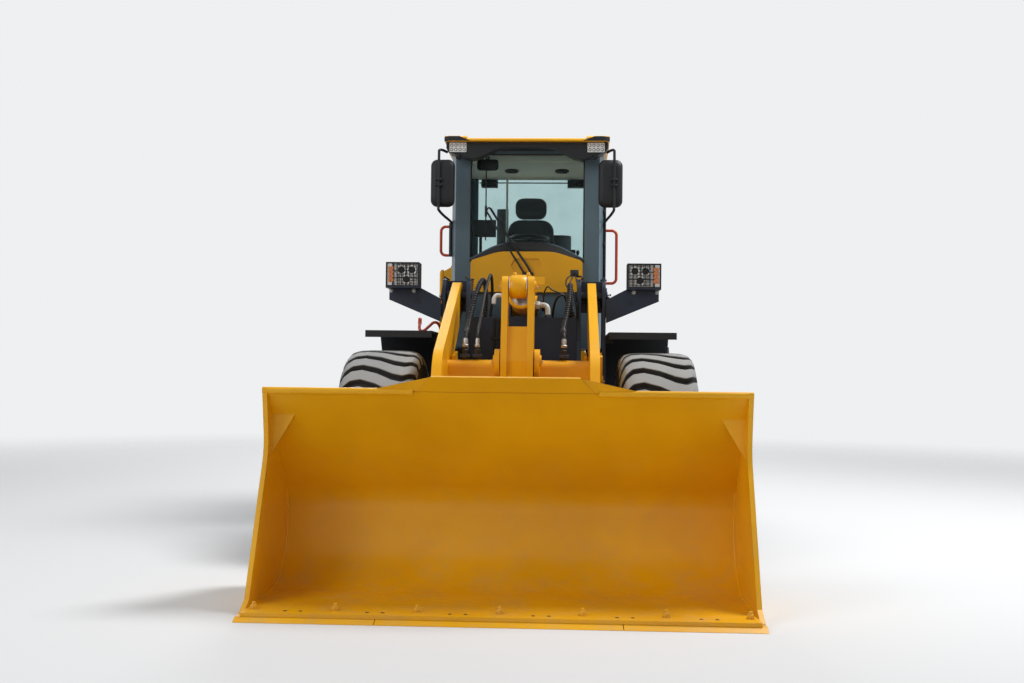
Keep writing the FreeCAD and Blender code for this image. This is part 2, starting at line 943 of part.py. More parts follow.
def wheels():
    tyre = tyre_solid()
    rim = rim_profile()
    for end, axle_y in (("front", s.front_axle_y), ("rear", s.rear_axle_y)):
        for side, sign in SIDES:
            place = (half_track * sign, axle_y, axle_z)
            name = "%s_%s" % (end, side)
            facing = [(x * sign, r) for x, r in rim]
            node("tyre_" + name, placed("tyre_" + name, tyre, place))
            node("rim_" + name, turned("rim_" + name, facing, place))


def round_run(label, start, stop, radius):
    """A straight piece of tube between two points."""
    item = doc.addObject("Part::Cylinder", label)
    item.Radius = radius.value
    item.setExpression("Radius", radius.text)
    item.Height = (stop - start).Length
    item.Placement = FreeCAD.Placement(start, FreeCAD.Rotation(FreeCAD.Vector(0, 0, 1), stop - start))
    return item


def tube(label, route, radius, bend):
    """A round tube along straight runs between points, with an arc of one bend radius at each corner."""
    radius, bend = as_size(radius), as_size(bend)
    points = [FreeCAD.Vector(*[as_size(value).value for value in point]) for point in route]
    pieces, here = [], points[0]
    for i, (before, corner, after) in enumerate(zip(points, points[1:], points[2:])):
        to_before = (before - corner).normalize()
        to_after = (after - corner).normalize()
        half = to_before.getAngle(to_after) / 2
        run = bend.value / math.tan(half)
        centre = corner + (to_before + to_after).normalize() * (bend.value / math.sin(half))
        start, stop = corner + to_before * run, corner + to_after * run
        across = (start - centre).normalize()
        normal = across.cross(stop - centre).normalize()
        elbow = doc.addObject("Part::Torus", "%s_elbow_%d" % (label, i))
        elbow.Radius1 = bend.value
        elbow.setExpression("Radius1", bend.text)
        elbow.Radius2 = radius.value
        elbow.setExpression("Radius2", radius.text)
        elbow.Angle3 = 180 - math.degrees(half * 2)
        elbow.Placement = FreeCAD.Placement(centre,
                                            FreeCAD.Rotation(across, normal.cross(across), normal, "ZXY"))
        pieces += [round_run("%s_run_%d" % (label, i), here, start, radius), elbow]
        here = stop
    pieces.append(round_run(label + "_end", here, points[-1], radius))
    return fuse(label, pieces)


def axle(label, axle_y, pads):
    """Axle housing: centre case, tubes, brake drums and the pads under the frame."""
    hub_end = half_track - s.disc_offset - s.hub_clearance
    centre = (axle_y, axle_z)
    spindle_end = hub_end + s.hub_clearance + s.spindle_depth - s.side_gap
    case = s.axle_case_length / 2
    pieces = [
        rod(label + "_tube", "x", centre, s.axle_tube_radius, -hub_end, hub_end),
        rod(label + "_spindle", "x", centre, s.spindle_radius, -spindle_end, spindle_end),
        rod(label + "_case", "x", centre, s.axle_case_radius, -case, case),
        rod(label + "_nose", "y", (0, axle_z), s.axle_case_radius * 0.55,
            axle_y - s.axle_case_radius * 0.8, axle_y + s.axle_case_radius * 1.5),
    ]
    drum = rod(label + "_drum", "x", centre, s.brake_radius, hub_end - s.brake_length * 2,
               hub_end - s.brake_length)
    pad = box(label + "_pad", (s.tower_inner_x - s.axle_pad_width / 2,
                               s.tower_inner_x + s.axle_pad_width / 2),
              (axle_y - s.axle_pad_length / 2, axle_y + s.axle_pad_length / 2),
              (axle_z, pads - s.seat_gap))
    pieces += both_sides([drum, pad])
    return node(label, fuse(label, pieces))


def front_frame():
    pin = (s.boom_pin_y, s.boom_pin_z)
    top = s.tower_top_z
    inner = s.tower_inner_x
    inner_out = inner + s.tower_inner_plate
    outer = s.tower_outer_x
    outer_out = outer + s.tower_outer_plate
    mast = [
        (s.tower_front_y, top, s.tower_corner), (s.tower_rear_y, top, s.tower_corner),
        (s.tower_rear_y + 10, s.tower_root_z),
        (s.frame_tail_y, s.frame_tail_top_z, s.frame_tail_corner),
        (s.frame_tail_y, s.frame_tail_low_z, s.frame_tail_corner),
    ]
    inner_plate = prism("tower_inner", "x", mast + [
        (s.belly_rear_y, s.frame_tail_low_z), (s.belly_front_y, s.frame_floor_z),
        (s.frame_nose_y, s.frame_floor_z), (s.frame_nose_y, s.nose_top_z, s.frame_tail_corner),
        (s.inner_throat_y, s.inner_throat_z, s.throat_corner), (s.inner_front_y, s.tower_front_z),
    ], inner, inner_out)
    outer_plate = prism("tower_outer", "x", mast + [
        (s.outer_throat_y, s.frame_tail_low_z), (s.outer_throat_y, s.outer_throat_z, s.throat_corner),
        (s.outer_front_y, s.tower_front_z),
    ], outer, outer_out)
    strap = box("tower_strap", (inner, outer_out), (s.tower_rear_y - s.strap_depth, s.tower_rear_y),
                (s.strap_low_z, top - 2))
    boom_pin = rod("boom_pin", "x", pin, s.pin_radius, inner - s.pin_reach, outer_out + s.pin_reach)
    ledges = [box("tower_ledge_%d" % i, (low - s.ledge_lip, low + wide + s.ledge_lip),
                  (s.tower_front_y + s.ledge_inset, s.tower_rear_y - s.ledge_inset / 2),
                  (top - 2, top + s.ledge_thickness))
              for i, (low, wide) in enumerate(((inner, s.tower_inner_plate), (outer, s.tower_outer_plate)))]
    cap = rod("boom_pin_cap", "x", pin, s.pin_cap_radius, outer_out, outer_out + s.pin_cap_height)
    lift_pin = rod("lift_base_pin", "x", (s.lift_base_y, s.lift_base_z), s.pin_radius,
                   inner - s.pin_reach / 2, outer_out + s.pin_reach * 3 / 4)
    rib = box("tower_rib", (inner, outer_out), (s.rib_y, s.rib_y + s.rib_thickness),
              (s.rib_low_z, s.rib_top_z))
    wing_plan = [
        (s.wing_near_x, s.hinge_wall_rear_y), (s.wing_far_x, s.hinge_wall_rear_y),
        (s.wing_far_x, s.wing_tip_y, s.wing_corner), (s.wing_tip_x, s.wing_tip_y, s.wing_corner),
    ]
    eye_top = s.steer_z + s.steer_eye_radius
    eye_low = s.steer_z - s.steer_eye_radius
    wing = prism("steer_wing", "z", wing_plan, eye_top + s.side_gap, eye_top + s.wing_rise)
    wing_low = prism("steer_wing_low", "z", wing_plan, eye_low - s.wing_rise, eye_low - s.side_gap)
    across = (-inner, inner)
    wall = box("hinge_wall", (-inner_out, inner_out), (s.hinge_wall_front_y, s.hinge_wall_rear_y),
               (s.neck_low_z, s.frame_tail_top_z))
    front_wall = box("tower_wall", across, (s.tower_wall_front_y, s.tower_wall_rear_y),
                     (s.frame_floor_z - s.tower_wall_drop, s.tower_wall_top_z))
    deck = box("tower_deck", across, (s.tower_wall_front_y, s.tower_rear_y + 10),
               (s.deck_low_z, s.deck_top_z))
    case_rear = s.front_axle_y + s.axle_case_radius
    floor = box("frame_floor", across, (case_rear + 20, s.hinge_wall_rear_y),
                (s.frame_floor_z, s.frame_floor_top_z))
    nose = box("frame_nose", across, (s.nose_wall_y, s.nose_wall_y + s.nose_wall_thickness),
               (axle_z + s.axle_case_radius + 15, s.nose_wall_top_z))
    tilt_out = s.tilt_foot_width / 2 + s.side_gap
    ear_top = s.tilt_base_z + s.tilt_ear_reach
    ear = prism("tilt_ear", "x", [
        (s.tilt_ear_foot_y, s.tilt_ear_foot_z),
        (s.tilt_base_y - s.tilt_ear_reach, ear_top, s.tilt_ear_corner),
        (s.tilt_base_y + s.tilt_ear_corner, ear_top, s.tilt_ear_corner),
        (s.tilt_base_y + s.tilt_ear_corner - 5, s.tilt_ear_foot_z),
    ], tilt_out, tilt_out + s.tilt_ear_thickness)
    tilt_pin = rod("tilt_base_pin", "x", (s.tilt_base_y, s.tilt_base_z), s.pin_radius,
                   -tilt_out - s.tilt_pin_reach, tilt_out + s.tilt_pin_reach)
    boss = s.pivot_boss_radius
    hinge = [
        (-s.hinge_ear_half, s.hinge_ear_front_y), (s.hinge_ear_half, s.hinge_ear_front_y),
        (boss, s.pivot_y + boss, boss - 2), (-boss, s.pivot_y + boss, boss - 2),
    ]
    ears = [prism("hinge_ear_%d" % i, "z", hinge, z, z + s.front_ear_thickness)
            for i, z in enumerate((s.lower_ear_z, s.upper_ear_z))]
    sides = both_sides([inner_plate, outer_plate, strap, *ledges, boom_pin, cap, lift_pin, rib, wing,
                        wing_low, ear])
    body = fuse("front_frame_solid", sides + [wall, front_wall, deck, floor, nose, tilt_pin] + ears)
    bore = rod("hinge_bore", "z", (0, s.pivot_y), s.pivot_pin_radius + s.bore_gap, 400, 1300)
    tunnel = rod("shaft_tunnel", "y", (0, s.shaft_z), s.shaft_radius * 2, -1000, 0)
    return node("front_frame", cut("front_frame", body, fuse("front_frame_holes", [bore, tunnel])))


def rear_frame():
    out = s.rail_x + s.rail_thickness
    top = s.rail_top_z
    arch_front = s.rear_axle_y - s.axle_arch_front
    arch_rear = s.rear_axle_y + s.axle_arch_rear
    rail = prism("rail", "x", [
        (s.rail_front_y, s.rail_front_low_z), (s.rail_front_y, top), (s.rail_rear_y, top),
        (s.rail_rear_y, s.rail_rear_low_z), (arch_rear + s.arch_rear_run, s.rail_rear_low_z),
        (arch_rear, s.axle_arch_z), (arch_front, s.axle_arch_z),
        (arch_front - s.arch_front_run, s.rail_front_low_z),
    ], s.rail_x, out)
    wall = box("frame_wall", (-560, 560), (s.rail_front_y, s.rail_front_y + 36), (620, top))
    neck = prism("neck_plate", "x", [
        (s.neck_front_y, s.neck_low_z), (s.neck_front_y, top), (s.rail_front_y + 10, top),
        (s.rail_front_y + 10, 620), (1000, s.neck_low_z),
    ], s.neck_x, s.neck_x + s.rail_thickness)
    neck_out = s.neck_x + s.rail_thickness
    plan = [(-neck_out, s.neck_front_y + 120), (-neck_out, s.neck_front_y),
            (-s.pivot_boss_radius, s.pivot_y - s.pivot_boss_radius, s.pivot_boss_radius - 2),
            (s.pivot_boss_radius, s.pivot_y - s.pivot_boss_radius, s.pivot_boss_radius - 2),
            (neck_out, s.neck_front_y), (neck_out, s.neck_front_y + 120)]
    ears = []
    for i, z in enumerate((s.lower_ear_z, s.upper_ear_z)):
        above = z + s.front_ear_thickness + s.side_gap
        below = z - s.side_gap - s.rear_ear_thickness
        ears.append(prism("ear_above_%d" % i, "z", plan, above, above + s.rear_ear_thickness))
        ears.append(prism("ear_below_%d" % i, "z", plan, below, below + s.rear_ear_thickness))
        ears.append(rod("pivot_pin_%d" % i, "z", (0, s.pivot_y), s.pivot_pin_radius, below - 15,
                        above + s.rear_ear_thickness + 15))
    foot_top = box("steer_foot_top", (s.steer_base_x - 60, s.steer_base_x + 60),
                   (s.steer_base_y - 60, s.rail_front_y), (s.steer_z + 55, s.steer_z + 80))
    foot_low = box("steer_foot_low", (s.steer_base_x - 60, s.steer_base_x + 60),
                   (s.steer_base_y - 60, s.rail_front_y), (s.steer_z - 80, s.steer_z - 55))
    cab_arm = box("cab_bracket", (200, 720), (s.rail_front_y - 500, s.rail_front_y - 400), (1120, top))
    cab_post = box("cab_post", (560, 660), (s.rail_front_y - 500, s.rail_front_y - 400),
                   (top, s.cab_floor_z - s.seat_gap))
    cab_back = box("cab_back_post", (s.rail_x, 520), (s.rail_front_y, s.rail_front_y + 90),
                   (1100, s.cab_floor_z - s.seat_gap))
    cab_nose = box("cab_front_post", (100, neck_out), (s.neck_front_y, s.neck_front_y + 80),
                   (top, s.cab_floor_z - s.seat_gap))
    across = (-s.rail_x, s.rail_x)
    under = top - s.trunnion_gap
    cross = box("rear_cross", across, (s.rail_rear_y - 60, s.rail_rear_y), (820, under))
    plate_y = arch_front - s.trunnion_gap
    trunnion = box("trunnion_front", across, (plate_y - s.trunnion_thickness, plate_y), (1000, under))
    plate_y = arch_rear + 30
    trunnion_back = box("trunnion_back", across, (plate_y, plate_y + s.trunnion_thickness), (1080, under))
    return node("rear_frame", fuse("rear_frame", both_sides([rail, neck, foot_top, foot_low, cab_arm,
                cab_post, cab_back, cab_nose]) + [wall, cross, trunnion, trunnion_back] + ears))


def boom():
    pin = (s.boom_pin_y, s.boom_pin_z)
    nose = (s.bucket_pin_y, s.bucket_pin_z)
    end = s.arm_end_radius
    inner = s.arm_x - s.arm_thickness / 2
    outer = s.arm_x + s.arm_thickness / 2
    outline = [
        (nose[0] - s.arm_nose_front, nose[1] - s.arm_nose_rise, s.arm_nose_radius),
        (nose[0] + s.arm_nose_rise, nose[1] - s.arm_nose_drop, s.arm_nose_radius),
        (s.arm_knee_low_y, s.arm_knee_low_z, s.arm_knee_low_radius),
        (pin[0] + end, pin[1] - end, end - 2),
        (pin[0] + end, pin[1] + end, end - 2),
        (pin[0] - s.arm_shoulder, pin[1] + end, s.arm_shoulder_radius),
        (s.arm_knee_top_y, s.arm_knee_top_z, s.arm_knee_top_radius),
        (s.arm_shin_y, s.arm_shin_z, s.arm_shin_radius),
    ]
    arm = prism("arm", "x", outline, inner, outer)
    clevis_low = s.arm_x - s.lift_eye_width / 2 - s.side_gap
    clevis_high = s.arm_x + s.lift_eye_width / 2 + s.side_gap
    lift = (s.lift_pin_y, s.lift_pin_z)
    hang = [
        (lift[0] - s.clevis_front, lift[1] - s.clevis_half, s.clevis_corner),
        (lift[0] + s.clevis_half, lift[1] - s.clevis_half, s.clevis_corner),
        (lift[0] + s.clevis_rear_top, lift[1] + s.clevis_rear_rise),
        (lift[0] - s.clevis_front_top, lift[1] + s.clevis_front_rise),
    ]
    lug_in = prism("clevis_inner", "x", hang, clevis_low - s.clevis_thickness, clevis_low)
    lug_out = prism("clevis_outer", "x", hang, clevis_high, clevis_high + s.clevis_thickness)
    spacer_z = lift[1] + s.lift_eye_radius + s.spacer_rise
    spacer = box("clevis_spacer", (clevis_low - 5, clevis_high + 5),
                 (lift[0] - s.spacer_front, lift[0] + s.spacer_half), (spacer_z, spacer_z + s.spacer_half))
    head = rod("clevis_head", "x", lift, s.pin_radius,
               clevis_low - s.clevis_thickness - s.pin_head, clevis_low - 2)
    head_out = rod("clevis_head_out", "x", lift, s.pin_radius,
                   clevis_high + 2, clevis_high + s.clevis_thickness + s.pin_head)
    beam = prism("cross_beam", "x", [
        (s.cross_y - s.cross_width / 2, s.cross_z - s.cross_height / 2, s.cross_corner),
        (s.cross_y + s.cross_width / 2, s.cross_z - s.cross_height / 2, s.cross_corner),
        (s.cross_y + s.cross_width / 2, s.cross_z + s.cross_height / 2, s.cross_corner),
        (s.cross_y - s.cross_width / 2, s.cross_z + s.cross_height / 2, s.cross_corner),
    ], -inner, inner)
    half = s.crank_ear_half
    ear = prism("crank_ear", "x", [
        (s.crank_pin_y - half, s.crank_pin_z - half, s.crank_ear_corner),
        (s.crank_pin_y - half, s.crank_pin_z + half, s.crank_ear_corner),
        (s.crank_pin_y + s.crank_ear_rear, s.crank_pin_z + half),
        (s.cross_y, s.cross_z + s.crank_ear_rise),
        (s.cross_y, s.cross_z - half),
        (s.cross_y - s.crank_ear_rise, s.cross_z - half),
    ], s.crank_ear_inner, s.crank_ear_inner + s.crank_ear_thickness)
    crank_pin = rod("crank_pin", "x", (s.crank_pin_y, s.crank_pin_z), s.pin_radius,
                    -s.crank_ear_inner - s.crank_ear_thickness - s.crank_pin_reach,
                    s.crank_ear_inner + s.crank_ear_thickness + s.crank_pin_reach)
    fittings = []
    for i, x in enumerate(HOSE_FITTINGS_X):
        beam_top = s.cross_z + s.cross_height / 2
        spot = (x, s.cross_y - s.fitting_offset)
        fittings.append(rod("fitting_tube_%d" % i, "z", spot, s.fitting_radius, beam_top - 4,
                            beam_top + s.fitting_height))
        fittings.append(rod("fitting_nut_%d" % i, "z", spot, s.fitting_radius * 1.6,
                            beam_top + s.fitting_height * 0.4,
                            beam_top + s.fitting_height * 0.7))
    sides = both_sides([arm, lug_in, lug_out, spacer, head, head_out, ear])
    body = fuse("boom_solid", sides + [beam, crank_pin] + fittings)
    bores = both_sides([
        rod("arm_bore", "x", pin, s.pin_radius + s.bore_gap, inner - 50, outer + 50),
        rod("nose_bore", "x", nose, s.pin_radius + s.bore_gap, inner - 50, outer + 50),
    ])
    return node("boom", cut("boom", body, fuse("boom_bores", bores)))


def bellcrank():
    mid = s.crank_spacing / 2
    inner = mid - s.crank_plate / 2
    outer = mid + s.crank_plate / 2
    end = s.crank_end_radius
    top = (s.crank_top_y, s.crank_top_z)
    low = (s.crank_low_y, s.crank_low_z)
    pin = (s.crank_pin_y, s.crank_pin_z)
    plate = prism("crank_side", "x", [
        (top[0] - end, top[1] + end, end - 2),
        (top[0] + end, top[1] + end, end - 2),
        (pin[0] + s.crank_mid_radius, pin[1], s.crank_bend_radius),
        (low[0] + end, low[1] - end, end - 2),
        (low[0] - end, low[1] - end, end - 2),
        (pin[0] - s.crank_mid_radius, pin[1], s.crank_bend_radius),
    ], inner, outer)
    web = prism("crank_web", "x", [
        (s.web_front_top_y, s.web_top_z), (s.web_front_mid_y, s.web_mid_z),
        (s.web_front_low_y, s.web_low_z), (s.web_rear_low_y, s.web_low_z),
        (s.web_rear_mid_y, s.web_mid_z), (s.web_rear_top_y, s.web_top_z),
    ], -inner, inner)
    heads = []
    for name, place in (("top", top), ("low", low)):
        heads.append(rod("crank_head_" + name, "x", place, s.pin_radius, inner + 2, outer + 14))
    solid = fuse("crank_solid", both_sides([plate] + heads) + [web])
    bore = rod("crank_bore", "x", pin, s.pin_radius + s.bore_gap, -outer - 30, outer + 30)
    return node("bellcrank", cut("bellcrank", solid, bore))


def tilt_link():
    low = (s.crank_low_y, s.crank_low_z)
    pin = (s.link_pin_y, s.link_pin_z)
    eye = s.link_eye_radius
    bar = prism("link_bar", "x", [
        (low[0], low[1] - eye + 20), (low[0], low[1] + eye - 20),
        (pin[0], pin[1] + eye - 20), (pin[0], pin[1] - eye + 20),
    ], -s.link_body / 2, s.link_body / 2)
    eyes = [rod("link_eye_%d" % i, "x", place, eye, -s.link_width / 2, s.link_width / 2)
            for i, place in enumerate((low, pin))]
    bore = rod("link_bore", "x", pin, s.pin_radius + s.bore_gap, -s.link_width, s.link_width)
    return node("tilt_link", cut("tilt_link", fuse("link_solid", [bar] + eyes), bore))


def sheet_corner(label, corners, depth):
    """A flat plate through three corners, with its thickness along Y."""
    faces = []
    for i, shift in enumerate((0, depth)):
        face = doc.addObject("Part::Polygon", "%s_face_%d" % (label, i))
        face.Nodes = [FreeCAD.Vector(x.value, y.value + shift, z.value) for x, y, z in corners]
        face.Close = True
        faces.append(face)
    return loft(label, faces)


def spill_guard():
    """Middle panel that carries the leaning wall on upward, with a wing folded back on each side."""
    lean_y = (s.bucket_back_y - s.bucket_lip_y) / (s.bucket_lip_z - s.bucket_knee_z)
    rise = s.guard_top_z - s.bucket_lip_z
    top_y = s.bucket_lip_y - lean_y * rise
    drop = s.lean_wall
    slab = prism("guard_slab", "x", [
        (s.bucket_lip_y + lean_y * drop, s.bucket_lip_z - drop), (top_y, s.guard_top_z),
        (top_y - s.guard_thickness, s.guard_top_z - s.guard_thickness / 2),
        (s.bucket_lip_y - s.guard_thickness + lean_y * drop, s.bucket_lip_z - drop - s.guard_thickness / 2),
    ], -s.guard_foot_half, s.guard_foot_half)
    shape = prism("guard_shape", "y", [
        (-s.guard_fold_half, s.bucket_lip_z - drop * 2), (-s.guard_fold_half, s.bucket_lip_z),
        (-s.guard_top_half, s.guard_top_z), (s.guard_top_half, s.guard_top_z),
        (s.guard_fold_half, s.bucket_lip_z), (s.guard_fold_half, s.bucket_lip_z - drop * 2),
    ], top_y - 100, s.bucket_lip_y + 100)
    panel = doc.addObject("Part::MultiCommon", "guard_panel")
    panel.Shapes = [slab, shape]
    front = s.bucket_lip_y - s.guard_thickness
    wing = sheet_corner("guard_wing", [
        (s.guard_fold_half - 25, front, s.bucket_lip_z - 8),
        (s.guard_top_half - 12, top_y - s.guard_thickness * 0.6, s.guard_top_z - 4),
        (s.guard_foot_half, front, s.bucket_lip_z + s.lip_bar_radius / 2),
    ], s.guard_thickness.value)
    return [panel] + both_sides([wing])


def bucket():
    half = s.bucket_width / 2
    inside = half - s.bucket_side
    floor = s.edge_thickness
    outer = [(s.bucket_back_y, floor, s.bucket_heel_radius),
             (s.bucket_back_y, s.bucket_knee_z, s.bucket_knee_radius),
             (s.bucket_lip_y, s.bucket_lip_z)]
    inner = [(s.bucket_lip_y - s.lean_wall, s.bucket_lip_z),
             (s.bucket_back_y - s.bucket_wall, s.bucket_knee_z - s.knee_drop,
              s.bucket_knee_radius - s.bucket_wall),
             (s.bucket_back_y - s.bucket_wall, floor + s.bucket_wall, s.bucket_heel_radius - s.bucket_wall)]
    shell = prism("bucket_shell", "x", [(s.bucket_base_y, floor)] + outer + inner +
                  [(s.bucket_base_y, floor + s.bucket_wall)], -inside, inside)
    side = prism("bucket_cheek", "x", [(s.bucket_side_front_y - 120, floor)] + outer +
                 [(s.bucket_lip_y - s.lean_wall - 5, s.bucket_lip_z + 15),
                  (s.bucket_side_notch_y, s.bucket_side_notch_z, 300),
                  (s.bucket_side_front_y, floor + 60)], inside, half)
    bar = rod("lip_bar", "x", (s.bucket_lip_y - s.lean_wall / 2, s.bucket_lip_z), s.lip_bar_radius,
              s.guard_fold_half + s.lip_bar_radius, half)
    guard = spill_guard()
    gusset = prism("corner_gusset", "y", [
        (inside - s.gusset_width, s.gusset_top_z), (inside, s.gusset_top_z),
        (inside, s.gusset_top_z - s.gusset_height),
    ], s.gusset_y, s.gusset_y + s.guard_thickness)
    nose = (s.bucket_pin_y, s.bucket_pin_z)
    ear_r = s.bucket_ear_radius
    ear_plan = [
        (nose[0] - s.bucket_ear_foot, nose[1] - s.bucket_ear_drop),
        (nose[0] + ear_r, nose[1] - ear_r, ear_r - 2), (nose[0] + ear_r, nose[1] + ear_r, ear_r - 2),
        (nose[0] - s.bucket_ear_run, nose[1] + s.bucket_ear_rise),
    ]
    near = s.arm_x - s.arm_thickness / 2 - s.side_gap
    far = s.arm_x + s.arm_thickness / 2 + s.side_gap
    ears = [
        prism("bucket_ear_in", "x", ear_plan, near - s.bucket_ear_thickness, near),
        prism("bucket_ear_out", "x", ear_plan, far, far + s.bucket_ear_thickness),
        rod("bucket_pin", "x", nose, s.pin_radius, near - s.bucket_ear_thickness - s.bucket_pin_head,
            far + s.bucket_ear_thickness + s.bucket_pin_head),
    ]
    link_near = s.link_width / 2 + s.side_gap
    link = (s.link_pin_y, s.link_pin_z)
    half_ear = s.link_ear_half
    ears.append(prism("link_ear", "x", [
        (link[0] - s.link_ear_foot, link[1] - s.link_ear_drop),
        (link[0] + half_ear, link[1] - half_ear, half_ear - 2),
        (link[0] + half_ear, link[1] + half_ear, half_ear - 2),
        (link[0] - s.link_ear_run, link[1] + s.link_ear_rise),
    ], link_near, link_near + s.link_ear_thickness))
    link_pin = rod("link_pin", "x", link, s.pin_radius, -link_near - s.link_ear_thickness - s.link_pin_head,
                   link_near + s.link_ear_thickness + s.link_pin_head)
    hollow = prism("bucket_hollow", "x", [(s.bucket_base_y - 50, floor + s.bucket_wall),
                   (s.bucket_lip_y - 200, s.bucket_lip_z + 200)] + inner[:1] + inner[1:], -inside, inside)
    held = cut("bucket_ears", fuse("bucket_ear_set", both_sides(ears) + [link_pin]), hollow)
    strip_y = (s.strip_front_y, s.strip_front_y + s.strip_length)
    strip = box("wear_strip", (half / 5, half / 5 + s.strip_width), strip_y, (0, floor))
    outer_strip = box("wear_strip_outer", (half * 0.73, half * 0.73 + s.strip_width), strip_y, (0, floor))
    return node("bucket", fuse("bucket",
                               both_sides([side, strip, outer_strip, bar, gusset]) + [shell, held] + guard))


def cutting_edge():
    half = s.bucket_width / 2
    top = s.edge_thickness - s.seat_gap
    outline = [(s.bucket_tip_y, 0), (s.bucket_tip_y + s.edge_depth, 0),
               (s.bucket_tip_y + s.edge_depth, top),
               (s.bucket_tip_y + s.edge_bevel, top)]
    gap = s.seam_gap / 2
    spans = ((-half, -s.edge_seam_x - gap), (-s.edge_seam_x + gap, s.edge_seam_x - gap),
             (s.edge_seam_x + gap, half))
    blades = [prism("edge_%d" % i, "x", outline, low, high) for i, (low, high) in enumerate(spans)]
    return node("cutting_edge", gather("cutting_edge", blades))


def barrel(label, x, foot, pin, eye_width, sizes):
    """Cylinder barrel: foot eye with its bore, hollow tube and gland."""
    radius, bore, length = sizes
    tube = strut(label + "_tube", x, foot, pin, radius, s.cylinder_foot, length)
    gland = strut(label + "_gland", x, foot, pin, radius + 8, length - 60, length - 8)
    eye = rod(label + "_eye", "x", foot, s.cylinder_foot + 22, x - eye_width / 2, x + eye_width / 2)
    hole = strut(label + "_hole", x, foot, pin, bore, s.cylinder_foot + 35, length + 20)
    pin_hole = rod(label + "_pin_hole", "x", foot, s.pin_radius + s.bore_gap, x - eye_width, x + eye_width)
    return cut(label, fuse(label + "_solid", [tube, gland, eye]), fuse(label + "_holes", [hole, pin_hole]))


def piston_rod(label, x, foot, pin, eye_width, sizes):
    """Piston, rod and the solid eye boss at its pin."""
    bore, radius, eye, tail = sizes
    span = reach(pin[0] - foot[0], pin[1] - foot[1])
    bar = strut(label + "_bar", x, foot, pin, radius, tail, span)
    piston = strut(label + "_piston", x, foot, pin, bore - s.piston_gap, tail, tail + 40)
    boss = rod(label + "_boss", "x", pin, eye, x - eye_width / 2, x + eye_width / 2)
    return fuse(label, [bar, piston, boss])


def cylinders():
    lift = ((s.lift_base_y, s.lift_base_z), (s.lift_pin_y, s.lift_pin_z), s.lift_eye_width)
    for side, sign in SIDES:
        x = s.arm_x * sign
        node("lift_barrel_" + side, barrel("lift_barrel_" + side, x, lift[0], lift[1], s.lift_foot_width,
             (s.lift_barrel_radius, s.lift_bore_radius, s.lift_barrel_length)))
        node("lift_rod_" + side, piston_rod("lift_rod_" + side, x, *lift,
             (s.lift_bore_radius, s.lift_rod_radius, s.lift_eye_radius, s.lift_rod_tail)))
    tilt = (as_size(0), (s.tilt_base_y, s.tilt_base_z), (s.crank_top_y, s.crank_top_z))
    plain = barrel("tilt_barrel_plain", *tilt, s.tilt_foot_width,
                   (s.tilt_barrel_radius, s.tilt_bore_radius, s.tilt_barrel_length))
    block = box("port_block", (-s.port_half, s.port_half), (s.port_y, s.port_y + s.port_length),
                (s.port_low_z, s.port_top_z))
    core = strut("port_core", *tilt[:1], tilt[1], tilt[2], s.tilt_barrel_radius - s.rim_flange / 2,
                 s.cylinder_foot, s.tilt_barrel_length)
    node("tilt_barrel", fuse("tilt_barrel", [plain, cut("port_block_fit", block, core)]))
    node("tilt_rod", piston_rod("tilt_rod", *tilt, s.tilt_eye_width,
         (s.tilt_bore_radius, s.tilt_rod_radius, s.tilt_eye_radius, s.tilt_rod_tail)))


def steering():
    """Steering cylinders: barrels seated on the rear frame, rods that slide to the front frame."""
    barrels = []
    for side, sign in SIDES:
        run_x = (s.steer_pin_x - s.steer_base_x) * sign
        run_y = s.pivot_y - s.steer_base_y
        start = (s.steer_base_x * sign, s.steer_base_y, s.steer_z)

        def along(label, radius, near, far):
            item = doc.addObject("Part::Cylinder", label)
            item.Radius = as_size(radius).value
            item.setExpression("Radius", as_size(radius).text)
            span = as_size(far) - as_size(near)
            item.Height = span.value
            item.setExpression("Height", span.text)
            length = reach(run_x, run_y)
            lean = heading(run_x, -run_y)
            spin = FreeCAD.Rotation(FreeCAD.Vector(0, 0, 1), lean.value)
            item.Placement.Rotation = spin.multiply(FreeCAD.Rotation(FreeCAD.Vector(1, 0, 0), 90))
            near = as_size(near)
            move(item, (start[0] + run_x * near / length, start[1] + run_y * near / length, start[2]))
            return item

        name = "steer_%s" % side
        tube = along(name + "_tube", s.steer_barrel_radius, s.steer_tube_start, s.steer_tube_end)
        bore = along(name + "_bore", s.steer_barrel_radius - s.steer_wall, s.steer_bore_start,
                     s.steer_tube_end + CUT_PAST)
        eye = rod(name + "_eye", "z", (start[0], start[1]), s.steer_eye_radius,
                  s.steer_z - s.steer_eye_half, s.steer_z + s.steer_eye_half)
        barrels.append(cut(name + "_barrel", fuse(name + "_solid", [tube, eye]), bore))
        span = reach(as_size(run_x), as_size(run_y))
        bar = along(name + "_bar", s.steer_rod_radius, s.steer_rod_tail, span)
        piston = along(name + "_piston", s.steer_barrel_radius - s.steer_wall - 1, s.steer_rod_tail,
                       s.steer_rod_tail + s.steer_piston_length)
        boss = rod(name + "_boss", "z", (s.steer_pin_x * sign, s.pivot_y), s.steer_eye_radius,
                   s.steer_z - s.steer_eye_radius + 6, s.steer_z + s.steer_eye_radius - 6)
        node("steer_rod_" + side, fuse("steer_rod_" + side, [bar, piston, boss]))
    node("steer_barrels", gather("steer_barrels", barrels))


